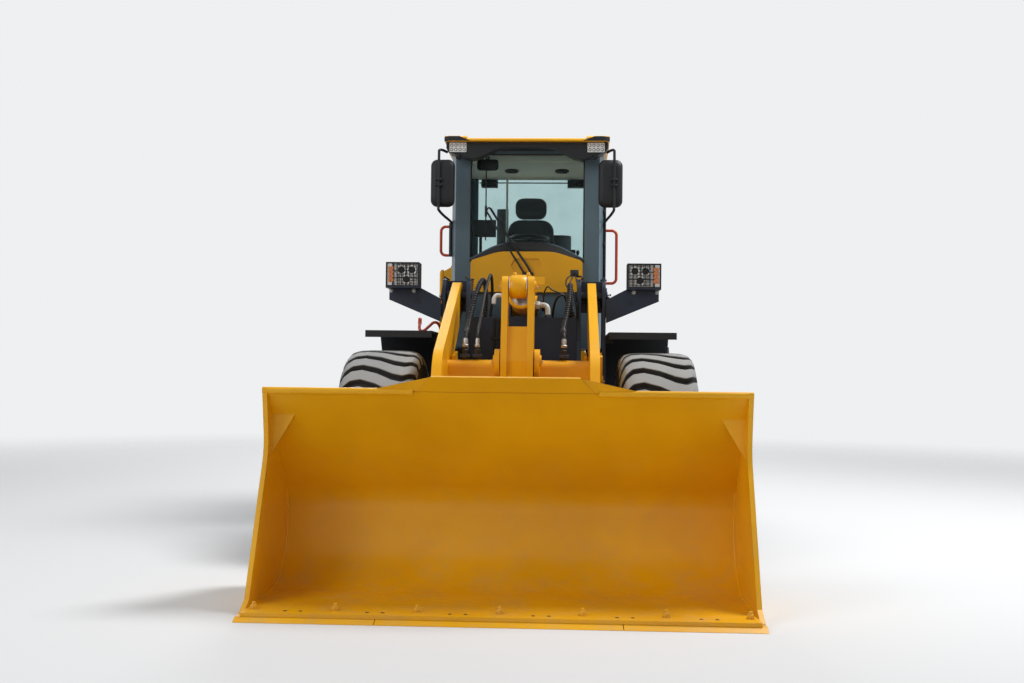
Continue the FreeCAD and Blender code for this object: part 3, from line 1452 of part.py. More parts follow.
def lamp_parts(near, far, low, back):
    """Work lamps: housings with a deep face, guard bars over the main beam, and the lenses inside."""
    front = s.lamp_y - s.lamp_depth / 2
    high = low + s.lamp_height
    rim = s.lamp_rim
    split = far - s.lamp_signal_width
    case = box("lamp_case", (near, far), (front, back - s.seat_gap), (low, high))
    beam = box("lamp_beam_hole", (near + rim, split), (front - 10, front + s.lamp_recess),
               (low + rim, high - rim))
    signal = box("lamp_signal_hole", (split + rim, far - rim), (front - 10, front + s.lamp_recess),
                 (low + rim, high - rim))
    bars = []
    for i in range(LAMP_BARS):
        x = near + rim + (split - near - rim) * ((i + 1) / (LAMP_BARS + 1))
        bars.append(box("lamp_bar_%d" % i, (x - s.guard_bar / 2, x + s.guard_bar / 2),
                        (front, front + s.guard_bar),
                        (low + rim - 1, high - rim + 1)))
    for i in range(2):
        z = low + rim + (s.lamp_height - rim * 2) * ((i + 1) / 3)
        bars.append(box("lamp_cross_%d" % i, (near + rim - 1, split + 1), (front, front + s.guard_bar),
                        (z - s.guard_bar / 2, z + s.guard_bar / 2)))
    shell = fuse("lamp_shell", [cut("lamp_open", case, fuse("lamp_holes", [beam, signal]))] + bars)
    node("headlamps", gather("headlamps", both_sides([shell])))
    seat = s.seat_gap
    lens_back = front + s.lamp_recess - seat
    lenses = [box("beam_lens", (near + rim + seat, split - seat), (front + s.lamp_recess / 2, lens_back),
                  (low + rim + seat, high - rim - seat)),
              box("signal_lens", (split + rim + seat, far - rim - seat), (front + s.guard_bar, lens_back),
                  (low + rim + seat, high - rim - seat))]
    node("lamp_lenses", gather("lamp_lenses", both_sides(lenses)))


def front_details():
    """Front fenders, lamp brackets, lamps and the shaft of the front frame."""
    top = s.fender_top_z
    skin = s.fender_plate
    lip = s.fender_lip
    front, bend, tail = s.fender_front_y, s.fender_bend_y, s.fender_tail_y
    run = [(front, top - lip), (front, top), (bend, top), (tail, top - s.fender_fall),
           (tail - skin, top - s.fender_fall - 4),
           (bend - skin, top - skin), (front + skin, top - skin), (front + skin, top - lip)]
    fender = prism("fender_skin", "x", run, s.fender_inner_x, s.fender_outer_x)
    wall_x = s.tower_outer_x + s.tower_outer_plate
    arm = box("fender_arm", (wall_x, s.fender_inner_x + 60), (-760, -640), (top - 70, top - skin))
    node("front_fenders", gather("front_fenders", both_sides([fuse("fender", [fender, arm])])))
    low = s.lamp_z - s.lamp_height / 2
    wall_x = wall_x + s.seat_gap
    near, far = s.lamp_x - s.lamp_width / 2, s.lamp_x + s.lamp_width / 2
    back = s.lamp_y + s.lamp_depth / 2
    plate = prism("lamp_plate", "y", [
        (wall_x, s.bracket_foot_z), (far - 6, low - s.bracket_end), (far - 6, low - s.seat_gap),
        (near, low - s.seat_gap),
        (wall_x, s.bracket_top_z)], back, back + 8)
    foot = box("lamp_foot", (wall_x, wall_x + 50), (back, -640),
               (s.bracket_foot_z + 50, s.bracket_top_z - 40))
    shelf = box("lamp_shelf", (near, far), (s.lamp_y - s.lamp_depth / 2, back + 8),
                (low - 10, low - s.seat_gap))
    node("lamp_brackets", gather("lamp_brackets", both_sides([fuse("lamp_bracket", [plate, foot, shelf])])))
    lamp_parts(near, far, low, back)
    shaft = rod("front_shaft", "y", (0, s.shaft_z), s.shaft_radius,
                s.front_axle_y + s.axle_case_radius * 1.5 + s.seat_gap,
                s.pivot_y - 70)
    node("front_shaft", shaft)


def rear_driveline():
    case = box("transmission", (-s.gear_case_half, s.gear_case_half),
               (s.gear_case_front_y, s.rail_front_y - s.seat_gap), (s.gear_case_low_z, s.gear_case_top_z))
    shaft = rod("mid_shaft", "y", (0, s.shaft_z), s.shaft_radius, s.pivot_y + s.joint_gap,
                s.gear_case_front_y + 10)
    cross = rod("joint_cross", "z", (0, s.pivot_y), s.joint_cross_radius,
                s.shaft_z - s.joint_cross_half, s.shaft_z + s.joint_cross_half)
    neck = rod("joint_neck", "y", (0, s.shaft_z), s.joint_neck_radius, s.pivot_y,
               s.pivot_y + s.joint_neck_length)
    node("driveline", fuse("driveline", [case, shaft, cross, neck]))
    half = s.engine_half_width
    block = box("engine_block", (-half, half), (s.engine_front_y, s.engine_rear_y),
                (s.weight_low_z + s.engine_above_weight, s.engine_top_z))
    feet = [box("engine_foot_%d" % i, (half - 10, s.rail_x - s.seat_gap), (y, y + s.engine_foot_length),
                (s.engine_foot_low_z, s.engine_foot_top_z))
            for i, y in enumerate((s.engine_front_y + s.engine_foot_inset,
                                   s.engine_rear_y - s.engine_foot_rear_inset))]
    node("engine", fuse("engine", [block] + both_sides(feet)))


def counterweight():
    half = s.weight_half_width
    flat = s.weight_flat_half
    rear = s.weight_rear_y
    front = s.rail_rear_y + s.weight_front_gap
    corner = rear - s.weight_corner_run
    block = prism("weight_block", "z", [
        (-half, front, s.weight_front_corner), (-half, corner, s.weight_corner_run),
        (-flat, rear), (flat, rear),
        (half, corner, s.weight_corner_run), (half, front, s.weight_front_corner),
        (s.weight_inner_half, s.rail_rear_y + s.seat_gap),
        (-s.weight_inner_half, s.rail_rear_y + s.seat_gap),
    ], s.weight_low_z, s.weight_top_z)
    wing_rear = rear - s.weight_wing_rear
    wing = box("weight_wing", (s.weight_wing_x, half), (s.rail_rear_y + s.weight_wing_front, wing_rear),
               (s.weight_top_z - CUT_PAST, s.weight_top_z + s.weight_wing_height))
    pocket_front = rear - s.hitch_depth
    pocket = box("hitch_pocket", (-s.hitch_half, s.hitch_half), (pocket_front, rear + CUT_PAST),
                 (s.hitch_low_z, s.hitch_top_z))
    pin = (0, rear - s.hitch_pin_inset)
    drop = rod("pin_drop", "z", pin, s.hitch_drop_radius, s.weight_low_z - CUT_PAST,
               s.weight_top_z + CUT_PAST)
    mass = cut("weight_mass", fuse("weight_solid", [block] + both_sides([wing])),
               fuse("weight_holes", [pocket, drop]))
    node("counterweight", mass)
    lamp_x = half - s.tail_lamp_edge
    lamp_z = s.weight_top_z + s.tail_lamp_rise
    tail = box("tail_lamp", (lamp_x - s.tail_lamp_width, lamp_x),
               (wing_rear + s.seat_gap, wing_rear + s.tail_lamp_depth),
               (lamp_z, lamp_z + s.tail_lamp_height))
    node("tail_lamps", gather("tail_lamps", both_sides([tail])))
    jaw_x = (-s.jaw_half, s.jaw_half)
    jaw_front = pocket_front + s.seat_gap
    jaw_end = s.jaw_top_z + s.jaw_height
    jaws = [box("jaw_%d" % i, jaw_x, (jaw_front, rear - s.jaw_inset), (low, low + s.jaw_height))
            for i, low in enumerate((s.jaw_low_z, s.jaw_top_z))]
    back = box("jaw_back", jaw_x, (jaw_front, pocket_front + s.jaw_back_depth), (s.jaw_low_z, jaw_end))
    hole = rod("jaw_hole", "z", pin, s.hitch_hole_radius, s.jaw_low_z - CUT_PAST, jaw_end + CUT_PAST)
    node("tow_hitch", cut("tow_hitch", fuse("hitch_solid", jaws + [back]), hole))


def hood():
    half = s.hood_half_width
    low, top = s.hood_low_z, s.hood_top_z
    run, drop = s.hood_chamfer_run, s.hood_chamfer_drop
    outer = [(-half, low), (-half, top - drop), (-half + run, top),
             (half - run, top), (half, top - drop), (half, low)]
    wall = s.hood_wall
    run_in, drop_in = run + s.hood_chamfer_inset, drop + s.hood_chamfer_inset
    inner = [(-half + wall, low - 10), (-half + wall, top - drop_in), (-half + run_in, top - wall),
             (half - run_in, top - wall), (half - wall, top - drop_in), (half - wall, low - 10)]
    shell = prism("hood_shell", "y", outer, s.hood_front_y, s.hood_rear_y)
    space = prism("hood_space", "y", inner, s.hood_front_y + wall, s.hood_rear_y + CUT_PAST)
    slots = []
    for i in range(HOOD_SLOTS):
        low = s.slot_low_z + s.slot_pitch * i
        slots.append(box("hood_slot_%d" % i, (-half - 30, half + 30),
                         (s.hood_rear_y - s.hood_slot_front, s.hood_rear_y - s.hood_slot_rear),
                         (low, low + s.slot_height)))
    skin = cut("hood_skin", shell, fuse("hood_openings", [space] + slots))
    feet = [box("hood_foot_%d" % i, (s.rail_x, half - 2), (y, y + s.hood_foot_length),
                (s.rail_top_z + s.seat_gap, s.hood_low_z + s.hood_foot_lap))
            for i, y in enumerate((s.hood_foot_front_y, s.rail_rear_y - s.hood_foot_rear_inset))]
    hinge_x = half + s.knuckle_radius
    hinge_y = s.hood_rear_y + s.door_gap / 2
    pins, barrels, bores = door_hinges("grille_hinge", hinge_x, hinge_y, (
        ((half - 2, hinge_x), (hinge_y - 70, hinge_y - 6)),
        ((half - 2, hinge_x), (hinge_y + 6, hinge_y + 56))),
        (s.grille_hinge_low_z, s.grille_hinge_top_z))
    node("hood", fuse("hood", [skin] + both_sides(feet) + pins))
    door_low = s.weight_top_z + s.grille_low_gap
    grille = box("grille_panel", (-half, half), (s.hood_rear_y + s.door_gap,
                                                 s.hood_rear_y + s.grille_depth),
                 (door_low, top - s.grille_depth))
    gaps = []
    for i in range(GRILLE_SLOTS):
        low = door_low + s.grille_margin + s.slot_pitch * i
        gaps.append(box("grille_gap_%d" % i, (-half + s.grille_edge, half - s.grille_edge),
                        (s.hood_rear_y - 10, s.hood_rear_y + 100),
                        (low, low + s.slot_height)))
    node("rear_grille", cut("rear_grille", fuse("grille_solid", [grille] + barrels),
                            fuse("grille_gaps", gaps + bores)))


def door_hinges(label, x, y, leaf, heights):
    """Hinge knuckles beside a door: pins and lower barrels for the body, bored barrels for the door."""
    pins, barrels, bores = [], [], []
    tall = s.knuckle_height
    for i, low in enumerate(heights):
        name = "%s_%d" % (label, i)
        pins.append(rod(name + "_pin", "z", (x, y), s.knuckle_pin, low - tall, low + tall))
        pins.append(rod(name + "_base", "z", (x, y), s.knuckle_radius, low - tall, low - s.knuckle_gap))
        pins.append(box(name + "_leaf", *leaf[0], (low - tall, low - s.knuckle_gap)))
        barrels.append(rod(name + "_barrel", "z", (x, y), s.knuckle_radius, low, low + tall))
        barrels.append(box(name + "_strap", *leaf[1], (low, low + tall)))
        bores.append(rod(name + "_bore", "z", (x, y), s.knuckle_pin + s.bore_gap, low - 5, low + tall + 5))
    return pins, barrels, bores


def screen_outline(inset):
    """Windscreen outline with rounded upper corners and an arched lower edge, moved in by a small gap."""
    half = s.screen_half - inset
    top = s.window_top_z - inset
    corner = s.screen_low_z + inset
    crown = s.screen_crown_z + inset
    return [(-half, corner), (-half, top, s.screen_corner), (half, top, s.screen_corner), (half, corner),
            (half / 2, crown, s.screen_bend), (-half / 2, crown, s.screen_bend)]


def cab():
    wide, narrow = s.cab_half_width, s.cab_front_half
    wall = s.cab_wall
    seat = s.seat_gap
    plan = [(-narrow, s.cab_front_y), (narrow, s.cab_front_y), (wide, s.cab_chamfer_y),
            (wide, s.cab_rear_y, 60),
            (-wide, s.cab_rear_y, 60), (-wide, s.cab_chamfer_y)]
    room = [(-narrow + 35, s.cab_front_y + wall), (narrow - 35, s.cab_front_y + wall),
            (wide - wall, s.cab_chamfer_y + 12),
            (wide - wall, s.cab_rear_y - wall), (-wide + wall, s.cab_rear_y - wall),
            (-wide + wall, s.cab_chamfer_y + 12)]
    hull = prism("cab_hull", "z", plan, s.cab_floor_z, s.cab_top_z)
    inside = prism("cab_room", "z", room, s.cab_floor_z + wall, s.cab_top_z + 20)
    view = s.window_top_z
    sill = s.cab_sill_z + s.sill_rise
    screen = prism("screen_hole", "y", screen_outline(as_size(0)), s.cab_front_y - 20,
                   s.cab_front_y + wall + 20)
    right = box("right_hole", (-wide - 20, -wide + wall + 20),
                (s.side_window_front_y, s.side_window_rear_y), (sill, view))
    left = box("left_hole", (wide - wall - 20, wide + 20),
               (s.door_rear_y + s.door_post, s.side_window_rear_y), (sill, view))
    back = box("back_hole", (-s.back_window_half, s.back_window_half),
               (s.cab_rear_y - wall - 20, s.cab_rear_y + 20),
               (s.hood_top_z + s.door_frame, view))
    door_hole = box("door_hole", (wide - wall - 20, wide + 20), (s.door_front_y, s.door_rear_y),
                    (s.cab_floor_z + wall, view))
    hinge_y = s.door_rear_y - s.door_gap / 2
    hinge_x = wide + s.knuckle_radius
    pins, barrels, bores = door_hinges("door_hinge", hinge_x, hinge_y, (
        ((wide - 2, hinge_x), (hinge_y + 6, hinge_y + 70)),
        ((wide - 2, hinge_x), (hinge_y - 70, hinge_y - 6))),
        (s.hinge_low_z, s.hinge_high_z))
    openings = fuse("cab_openings", [inside, screen, right, left, back, door_hole])
    node("cab_shell", fuse("cab_shell", [cut("cab_walls", hull, openings)] + pins))
    gap = s.door_gap
    panel = box("door_panel", (wide - wall, wide), (s.door_front_y + gap, s.door_rear_y - gap),
                (s.cab_floor_z + wall + gap, view - gap))
    pane_hole = box("door_pane_hole", (wide - wall - 20, wide + 20),
                    (s.door_front_y + s.door_frame, s.door_rear_y - s.door_frame),
                    (s.cab_sill_z, view - s.door_frame))
    node("cab_door", cut("cab_door", fuse("door_solid", [panel] + barrels),
                         fuse("door_holes", [pane_hole] + bores)))
    thin = s.glass_thickness
    mid = wide - wall / 2
    node("door_glass", box("door_glass", (mid, mid + thin),
                           (s.door_front_y + s.door_frame + seat, s.door_rear_y - s.door_frame - seat),
                           (s.cab_sill_z + seat, view - s.door_frame - seat)))
    panes = [
        prism("pane_front", "y", screen_outline(seat), s.cab_front_y + 20, s.cab_front_y + 20 + thin),
        box("pane_right", (-mid - thin, -mid), (s.side_window_front_y + seat, s.side_window_rear_y - seat),
            (sill + seat, view - seat)),
        box("pane_left", (mid, mid + thin), (s.door_rear_y + s.door_post + seat,
                                             s.side_window_rear_y - seat),
            (sill + seat, view - seat)),
        box("pane_back", (-s.back_window_half + seat, s.back_window_half - seat),
            (s.cab_rear_y - 30, s.cab_rear_y - 30 + thin),
            (s.hood_top_z + s.door_frame + seat, view - seat)),
    ]
    node("cab_glass", gather("cab_glass", panes))
    cab_roof()
    cab_front()
    cab_inside()


def cab_roof():
    """Thin roof cap with a raised pod over each front lamp, the visor below it and the lining inside."""
    seat = s.seat_gap
    low = s.cab_top_z + seat
    top = s.roof_top_z
    brow = s.roof_brow_z
    rear_face = s.roof_rear_y - 120
    slab = prism("roof_slab", "x", [
        (s.roof_front_y, brow), (s.lamp_bay_rear_y, brow), (s.lamp_bay_rear_y + 30, low),
        (s.roof_rear_y, low),
        (s.roof_rear_y, low + 12), (rear_face, top, 60), (s.roof_front_y + 20, top),
        (s.roof_front_y, brow + 14),
    ], -s.roof_half_width, s.roof_half_width)
    pod = prism("roof_pod", "x", [
        (s.roof_front_y, brow), (s.roof_front_y, brow + 32), (s.roof_front_y + 30, top + s.pod_height),
        (s.pod_rear_y - 300, top + s.pod_height, 60), (s.pod_rear_y, top - 5), (s.pod_rear_y, brow + 10),
        (s.lamp_bay_rear_y, brow)], s.pod_inner_x, s.roof_half_width)
    plan = prism("roof_plan", "z", [
        (-s.roof_corner_x, s.roof_front_y), (s.roof_corner_x, s.roof_front_y),
        (s.roof_half_width, s.roof_corner_y, 40),
        (s.roof_half_width, s.roof_rear_y, 80), (-s.roof_half_width, s.roof_rear_y, 80),
        (-s.roof_half_width, s.roof_corner_y, 40)], s.cab_top_z - 10, s.roof_top_z + s.pod_height + 10)
    roof = doc.addObject("Part::MultiCommon", "roof_block")
    roof.Shapes = [fuse("roof_mass", [slab] + both_sides([pod])), plan]
    node("cab_roof", roof)
    visor_half = s.roof_half_width - s.visor_gap
    lamp_foot = brow - seat - s.roof_lamp_height
    arch_z = brow - s.visor_arch_drop
    arch = [(s.visor_mid_half, brow - s.visor_mid_drop, s.visor_bend),
            (s.visor_arch_half, arch_z, s.screen_corner),
            (s.pod_inner_x - s.visor_run, arch_z - s.visor_run / 3),
            (visor_half - s.visor_run, lamp_foot)]
    edge = [(visor_half, lamp_foot + s.visor_run), (visor_half, brow - seat)]
    lower = arch + edge
    sides = [(-x, z, *rest) for x, z, *rest in reversed(lower)]
    visor_front = s.roof_front_y + s.visor_inset
    visor = prism("visor_solid", "y", lower + sides, visor_front, s.lamp_bay_rear_y - s.side_gap)
    lamp_z = (lamp_foot + s.lamp_frame, brow - seat - s.lamp_frame)
    lamp_x = (s.pod_inner_x, s.pod_inner_x + s.roof_lamp_width)
    bay = box("lamp_bay", (lamp_x[0] - seat, lamp_x[1] + seat),
              (visor_front - 10, visor_front + s.roof_lamp_depth + seat),
              (lamp_z[0] - seat, lamp_z[1] + seat))
    node("roof_visor", cut("roof_visor", visor, fuse("lamp_bays", both_sides([bay]))))
    front = box("roof_lamp", lamp_x, (visor_front - s.lamp_frame / 2, visor_front + s.roof_lamp_depth),
                lamp_z)
    rear = box("roof_lamp_rear", (s.pod_inner_x - s.roof_lamp_width, s.pod_inner_x),
               (s.cab_rear_y + s.seat_gap, s.cab_rear_y + s.roof_lamp_depth * 2),
               (low - seat * 2 - s.roof_lamp_height, low - seat * 2))
    node("roof_lamps", gather("roof_lamps", both_sides([front, rear])))
    lining = box("lining_rear", (-s.cab_half_width + s.cab_wall + seat,
                                 s.cab_half_width - s.cab_wall - seat),
                 (s.cab_chamfer_y + 30, s.cab_rear_y - s.cab_wall - seat),
                 (s.window_top_z + 2, s.cab_top_z - seat))
    lining_front = box("lining_front", (-s.cab_front_half + 60, s.cab_front_half - 60),
                       (s.cab_front_y + s.cab_wall + seat, s.cab_chamfer_y + 40),
                       (s.window_top_z + 2, s.cab_top_z - seat))
    node("headliner", fuse("headliner", [lining, lining_front]))


def cab_front():
    """Yellow cowl with its shallow recess on the wall below the windscreen."""
    back = s.cab_front_y - s.seat_gap
    front = back - s.cowl_depth
    body = prism("cowl_plate", "y", [
        (-s.cowl_foot_half, s.cowl_low_z), (-s.cowl_foot_half, s.cowl_shoulder_z, s.cowl_corner),
        (-s.cowl_top_half, s.cowl_top_z, s.screen_bend), (s.cowl_top_half, s.cowl_top_z, s.screen_bend),
        (s.cowl_foot_half, s.cowl_shoulder_z, s.cowl_corner), (s.cowl_foot_half, s.cowl_low_z),
    ], front, back)
    edge = s.recess_half - s.recess_slant
    middle = (s.recess_low_z + s.recess_top_z) / 2
    recess = prism("cowl_recess", "y", [
        (-s.recess_half, middle), (-edge, s.recess_low_z), (edge, s.recess_low_z), (s.recess_half, middle),
        (edge, s.recess_top_z), (-edge, s.recess_top_z)], front - 10, front + s.recess_depth)
    node("cab_cowl", cut("cab_cowl", body, recess))


def cab_inside():
    """Seat, steering column, consoles, monitor and mirror."""
    seat = s.seat_gap
    floor = s.cab_floor_z + s.cab_wall + seat
    pad = s.seat_pad_z
    node("seat", fuse("seat", [
        box("seat_base", (-s.seat_base_half, s.seat_base_half), (s.seat_base_front_y, s.seat_back_y),
            (floor, pad + 10)),
        box("seat_cushion", (-s.seat_half, s.seat_half), (s.seat_front_y, s.seat_rear_y),
            (pad, pad + s.seat_pad_height)),
        box("seat_back", (-s.seat_half, s.seat_half), (s.seat_back_y, s.seat_back_y + s.seat_back_depth),
            (pad + s.seat_pad_height - 10, s.seat_back_z)),
        box("seat_neck", (-s.seat_neck_half, s.seat_neck_half),
            (s.seat_neck_y, s.seat_neck_y + s.seat_neck_depth), (s.seat_back_z - 10, s.seat_head_z + 10)),
        box("seat_head", (-s.seat_head_half, s.seat_head_half),
            (s.seat_head_y, s.seat_head_y + s.seat_head_depth), (s.seat_head_z, s.seat_top_z)),
    ]))
    wheel_y, wheel_z = s.steer_wheel_y, s.steer_wheel_z
    low_y = s.column_foot_y
    column = strut("column_post", as_size(0), (low_y, floor), (wheel_y, wheel_z),
                   s.column_radius, s.column_start,
                   reach(wheel_y - low_y, wheel_z - floor))
    rim = cut("wheel_ring", rod("wheel_disc", "z", (0, 0), s.steer_wheel_radius, 0, s.wheel_rim),
              rod("wheel_gap", "z", (0, 0), s.steer_wheel_radius - s.wheel_rim, -s.wheel_rim,
                  s.wheel_rim * 2))
    spoke = box("wheel_spoke", (-s.steer_wheel_radius + 5, s.steer_wheel_radius - 5),
                (-s.wheel_spoke_half, s.wheel_spoke_half),
                (-10, s.wheel_rim / 2))
    ring = fuse("wheel_set", [rim, spoke])
    ring.Placement.Rotation = FreeCAD.Rotation(FreeCAD.Vector(1, 0, 0), 20)
    move(ring, (0, wheel_y, wheel_z))
    foot = box("column_foot", (-s.column_foot_half, s.column_foot_half),
               (low_y - s.column_foot_front, low_y + s.column_foot_rear),
               (floor, floor + s.column_foot_height))
    console = box("side_console", (s.console_near_x, s.console_far_x),
                  (s.console_front_y, s.console_rear_y), (floor, s.console_top_z))
    rest = box("arm_rest", (s.console_near_x, s.console_near_x + s.arm_rest_width),
               (s.console_rear_y - s.arm_rest_length, s.console_rear_y),
               (s.console_top_z - 5, s.arm_rest_z))
    panel = box("dash_panel", (-s.dash_half, s.dash_half),
                (s.cab_front_y + s.cab_wall + seat, s.dash_rear_y), (floor, s.dash_top_z))
    node("controls", gather("controls",
                            [fuse("column", [column, foot, ring]), fuse("console", [console, rest])]))
    screen = box("monitor_case", (-s.monitor_far_x, -s.monitor_near_x),
                 (s.monitor_y, s.monitor_y + s.monitor_depth),
                 (s.monitor_low_z, s.monitor_top_z))
    pole_x = -s.monitor_far_x + s.monitor_pole_inset
    pole_y = s.monitor_y + s.monitor_pole_inset
    pole_top = s.monitor_low_z + s.monitor_pole_inset
    pole = rod("monitor_pole", "z", (pole_x, pole_y), s.monitor_pole_radius, s.dash_top_z - 10, pole_top)
    arm = box("monitor_arm", (pole_x - 10, pole_x + 10), (s.monitor_y + s.monitor_depth / 2, pole_y),
              (s.monitor_low_z + s.monitor_pole_inset / 2, pole_top))
    stand_x = -s.monitor_far_x + s.monitor_stand_inset
    stand = box("monitor_stand", (stand_x, stand_x + s.monitor_stand_width),
                (s.dash_rear_y - 10, s.monitor_y + s.monitor_stand_depth), (floor, s.dash_top_z))
    node("dashboard", fuse("dashboard", [panel, screen, pole, arm, stand]))


def cab_outside():
    """Mirrors on bent tubes, grab loops, exhaust stack and air intake."""
    wide = s.cab_half_width
    wall = wide + s.seat_gap
    foot_y = s.cab_chamfer_y + s.grab_offset
    foot_out = wall + s.mirror_foot
    head = box("mirror_head", (s.mirror_near_x, s.mirror_far_x), (s.mirror_y, s.mirror_y + s.mirror_depth),
               (s.mirror_low_z, s.mirror_top_z))
    tube_y = s.mirror_y - s.mirror_tube_radius - s.mirror_stand
    bend = s.mirror_tube_radius * 3
    start = (s.roof_half_width - s.visor_gap + s.seat_gap, s.lamp_bay_rear_y - s.mirror_start,
             s.mirror_start_z)
    arm = tube("mirror_tube", [start, (s.mirror_tube_x, tube_y, s.mirror_start_z),
                               (s.mirror_tube_x, tube_y, s.mirror_tail_z),
                               (foot_out - 4, s.cab_front_y, s.mirror_foot_z),
                               (foot_out - 4, foot_y, s.mirror_foot_z)],
               s.mirror_tube_radius, bend)
    middle = (s.mirror_low_z + s.mirror_top_z) / 2
    clamp = box("mirror_clamp", (s.mirror_tube_x - s.clamp_half, s.mirror_tube_x + s.clamp_half),
                (tube_y, s.mirror_y + s.clamp_half / 2), (middle - s.clamp_half, middle + s.clamp_half))
    foot = box("mirror_stay", (wall, foot_out), (foot_y - 30, foot_y + 20),
               (s.mirror_foot_z - 15, s.mirror_foot_z + 20))
    node("mirrors", gather("mirrors", both_sides([fuse("mirror", [head, arm, foot, clamp])])))
    loops = []
    for side, out, low, high in (("left", s.grab_left_x, s.grab_left_low_z, s.grab_left_top_z),
                                 ("right", -s.grab_right_x, s.grab_right_low_z, s.grab_right_top_z)):
        near = wall if side == "left" else -wall
        loops.append(tube("grab_" + side, [(near, foot_y, low), (out, foot_y, low), (out, foot_y, high),
                                           (near, foot_y, high)],
                          s.grab_radius, s.grab_bend))
    node("handrails", gather("handrails", loops))
    node("exhaust", rod("exhaust_stack", "z", (-330, 1850), 62, s.hood_top_z + s.seat_gap, 3180))
    bowl_low = s.hood_top_z + s.cleaner_neck
    cleaner = fuse("cleaner",
                   [rod("cleaner_neck", "z", (280, 1900), 60, s.hood_top_z + s.seat_gap, bowl_low + 20),
                               rod("cleaner_bowl", "z", (280, 1900), 130, bowl_low, bowl_low + 180)])
    node("precleaner", cleaner)


def side_fittings():
    skin = s.fender_plate
    top = s.rear_fender_top_z
    run = [(1010, 1250), (1010 + skin, 1250), (1010 + skin, top - 140), (1160, top - skin),
           (2560, top - skin),
           (2830, top - 280), (2830 + skin, top - 275), (2562, top), (1157, top), (1010, top - 136)]
    fender = prism("rear_fender_skin", "x", run, s.rear_fender_inner_x,
                   half_track + s.tyre_width / 2 + s.rear_fender_lip)
    arm = box("rear_fender_arm", (s.rail_x + s.rail_thickness + s.seat_gap, 762), (1990, 2110),
              (1100, 1180))
    post = box("rear_fender_post", (700, 766), (1990, 2110), (1100, top - 4))
    node("rear_fenders", gather("rear_fenders", both_sides([fuse("rear_fender", [fender, arm, post])])))
    tank = prism("tank_body", "y", [
        (-s.cab_half_width - s.tank_depth, top + s.seat_gap),
        (-s.cab_half_width - s.tank_depth, s.tank_top_z - s.tank_chamfer),
        (-s.cab_half_width - s.tank_depth / 6, s.tank_top_z),
        (-s.cab_half_width - s.side_gap, s.tank_top_z),
        (-s.cab_half_width - s.side_gap, top + s.seat_gap)], s.tank_front_y, s.cab_rear_y - s.tank_chamfer)
    node("hydraulic_tank", tank)
    body = box("step_box", (790, 1180), (560, 960), (760, 1560))
    link = box("step_arm", (720 + s.seat_gap, 800), (880, 960), (1125, 1175))
    treads = [box("step_%d" % i, (1000, 1260), (560, 940), (low, low + 30)) for i,
              low in enumerate((480, 740))]
    hanger = box("step_hanger", (1000, 1020), (560, 600), (480, 800))
    hanger_back = box("step_hanger_back", (1000, 1020), (900, 940), (480, 800))
    node("side_boxes", gather("side_boxes",
                              both_sides([fuse("step_unit", [body, link, hanger, hanger_back] + treads)])))


axle("front_axle", s.front_axle_y, s.frame_floor_z)
wheels()
front_frame()
rear_frame()
axle("rear_axle", s.rear_axle_y, as_size(1060))
boom()
bellcrank()
tilt_link()
bucket()
cutting_edge()
cylinders()
steering()
front_details()
rear_driveline()
counterweight()
hood()
cab()
cab_outside()
side_fittings()

doc.recompute()
faults = [item.Name for item in doc.Objects if "Invalid" in item.State or "Error" in item.State]
if faults:
    raise RuntimeError("objects that did not build: %s" % ", ".join(faults))
for item in nodes:
    if item.Shape.isNull() or not item.Shape.isValid() or not item.Shape.Solids:
        raise RuntimeError("bad shape: " + item.Label)
    item.Shape.exportStep("parts/%s.step" % item.Label)
    print(item.Label, len(item.Shape.Solids), round(item.Shape.Volume / 1e9, 4))
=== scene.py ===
# %% [markdown]
# A wheel loader seen from the front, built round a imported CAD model.
# The CAD bodies give every main form and every joint, so this script adds only what a machine
# shows close up: paint, rubber, glass, bolts, hoses and lamps. It starts by loading that model.

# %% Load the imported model
import json
import math

import bmesh
import bpy
from mathutils import Matrix, Vector


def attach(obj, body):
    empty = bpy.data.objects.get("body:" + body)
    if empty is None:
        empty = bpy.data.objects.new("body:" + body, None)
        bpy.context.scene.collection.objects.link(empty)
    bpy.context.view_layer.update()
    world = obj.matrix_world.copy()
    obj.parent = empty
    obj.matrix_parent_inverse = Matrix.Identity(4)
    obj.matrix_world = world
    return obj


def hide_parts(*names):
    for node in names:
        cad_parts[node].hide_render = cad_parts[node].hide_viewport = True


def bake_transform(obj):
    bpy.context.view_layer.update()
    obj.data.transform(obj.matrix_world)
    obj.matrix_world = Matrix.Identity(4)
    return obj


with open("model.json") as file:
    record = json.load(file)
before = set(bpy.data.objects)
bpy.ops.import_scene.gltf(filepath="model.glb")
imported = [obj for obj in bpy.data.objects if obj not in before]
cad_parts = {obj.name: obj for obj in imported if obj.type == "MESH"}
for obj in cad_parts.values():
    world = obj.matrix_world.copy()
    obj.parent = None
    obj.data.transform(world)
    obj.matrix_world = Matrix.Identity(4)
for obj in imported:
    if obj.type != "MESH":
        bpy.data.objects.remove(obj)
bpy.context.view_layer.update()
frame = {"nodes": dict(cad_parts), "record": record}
nodes = frame["nodes"]

# %% [markdown]
# The camera comes first, because everything else is judged through it. Its place was found by
# fitting a pinhole camera to corners that the photograph and the model share: the bucket's
# corners, the tyres, the lamps and the roof. It stands low in front of the bucket, a little to
# the machine's left, and it is rolled by about half a degree, as a hand-held camera is.

# %% Camera
camera_place = Vector((0.371, -10.561, 1.449))
camera_lens = 40.64
camera_yaw, camera_pitch, camera_roll = 2.709, 1.434, 0.612


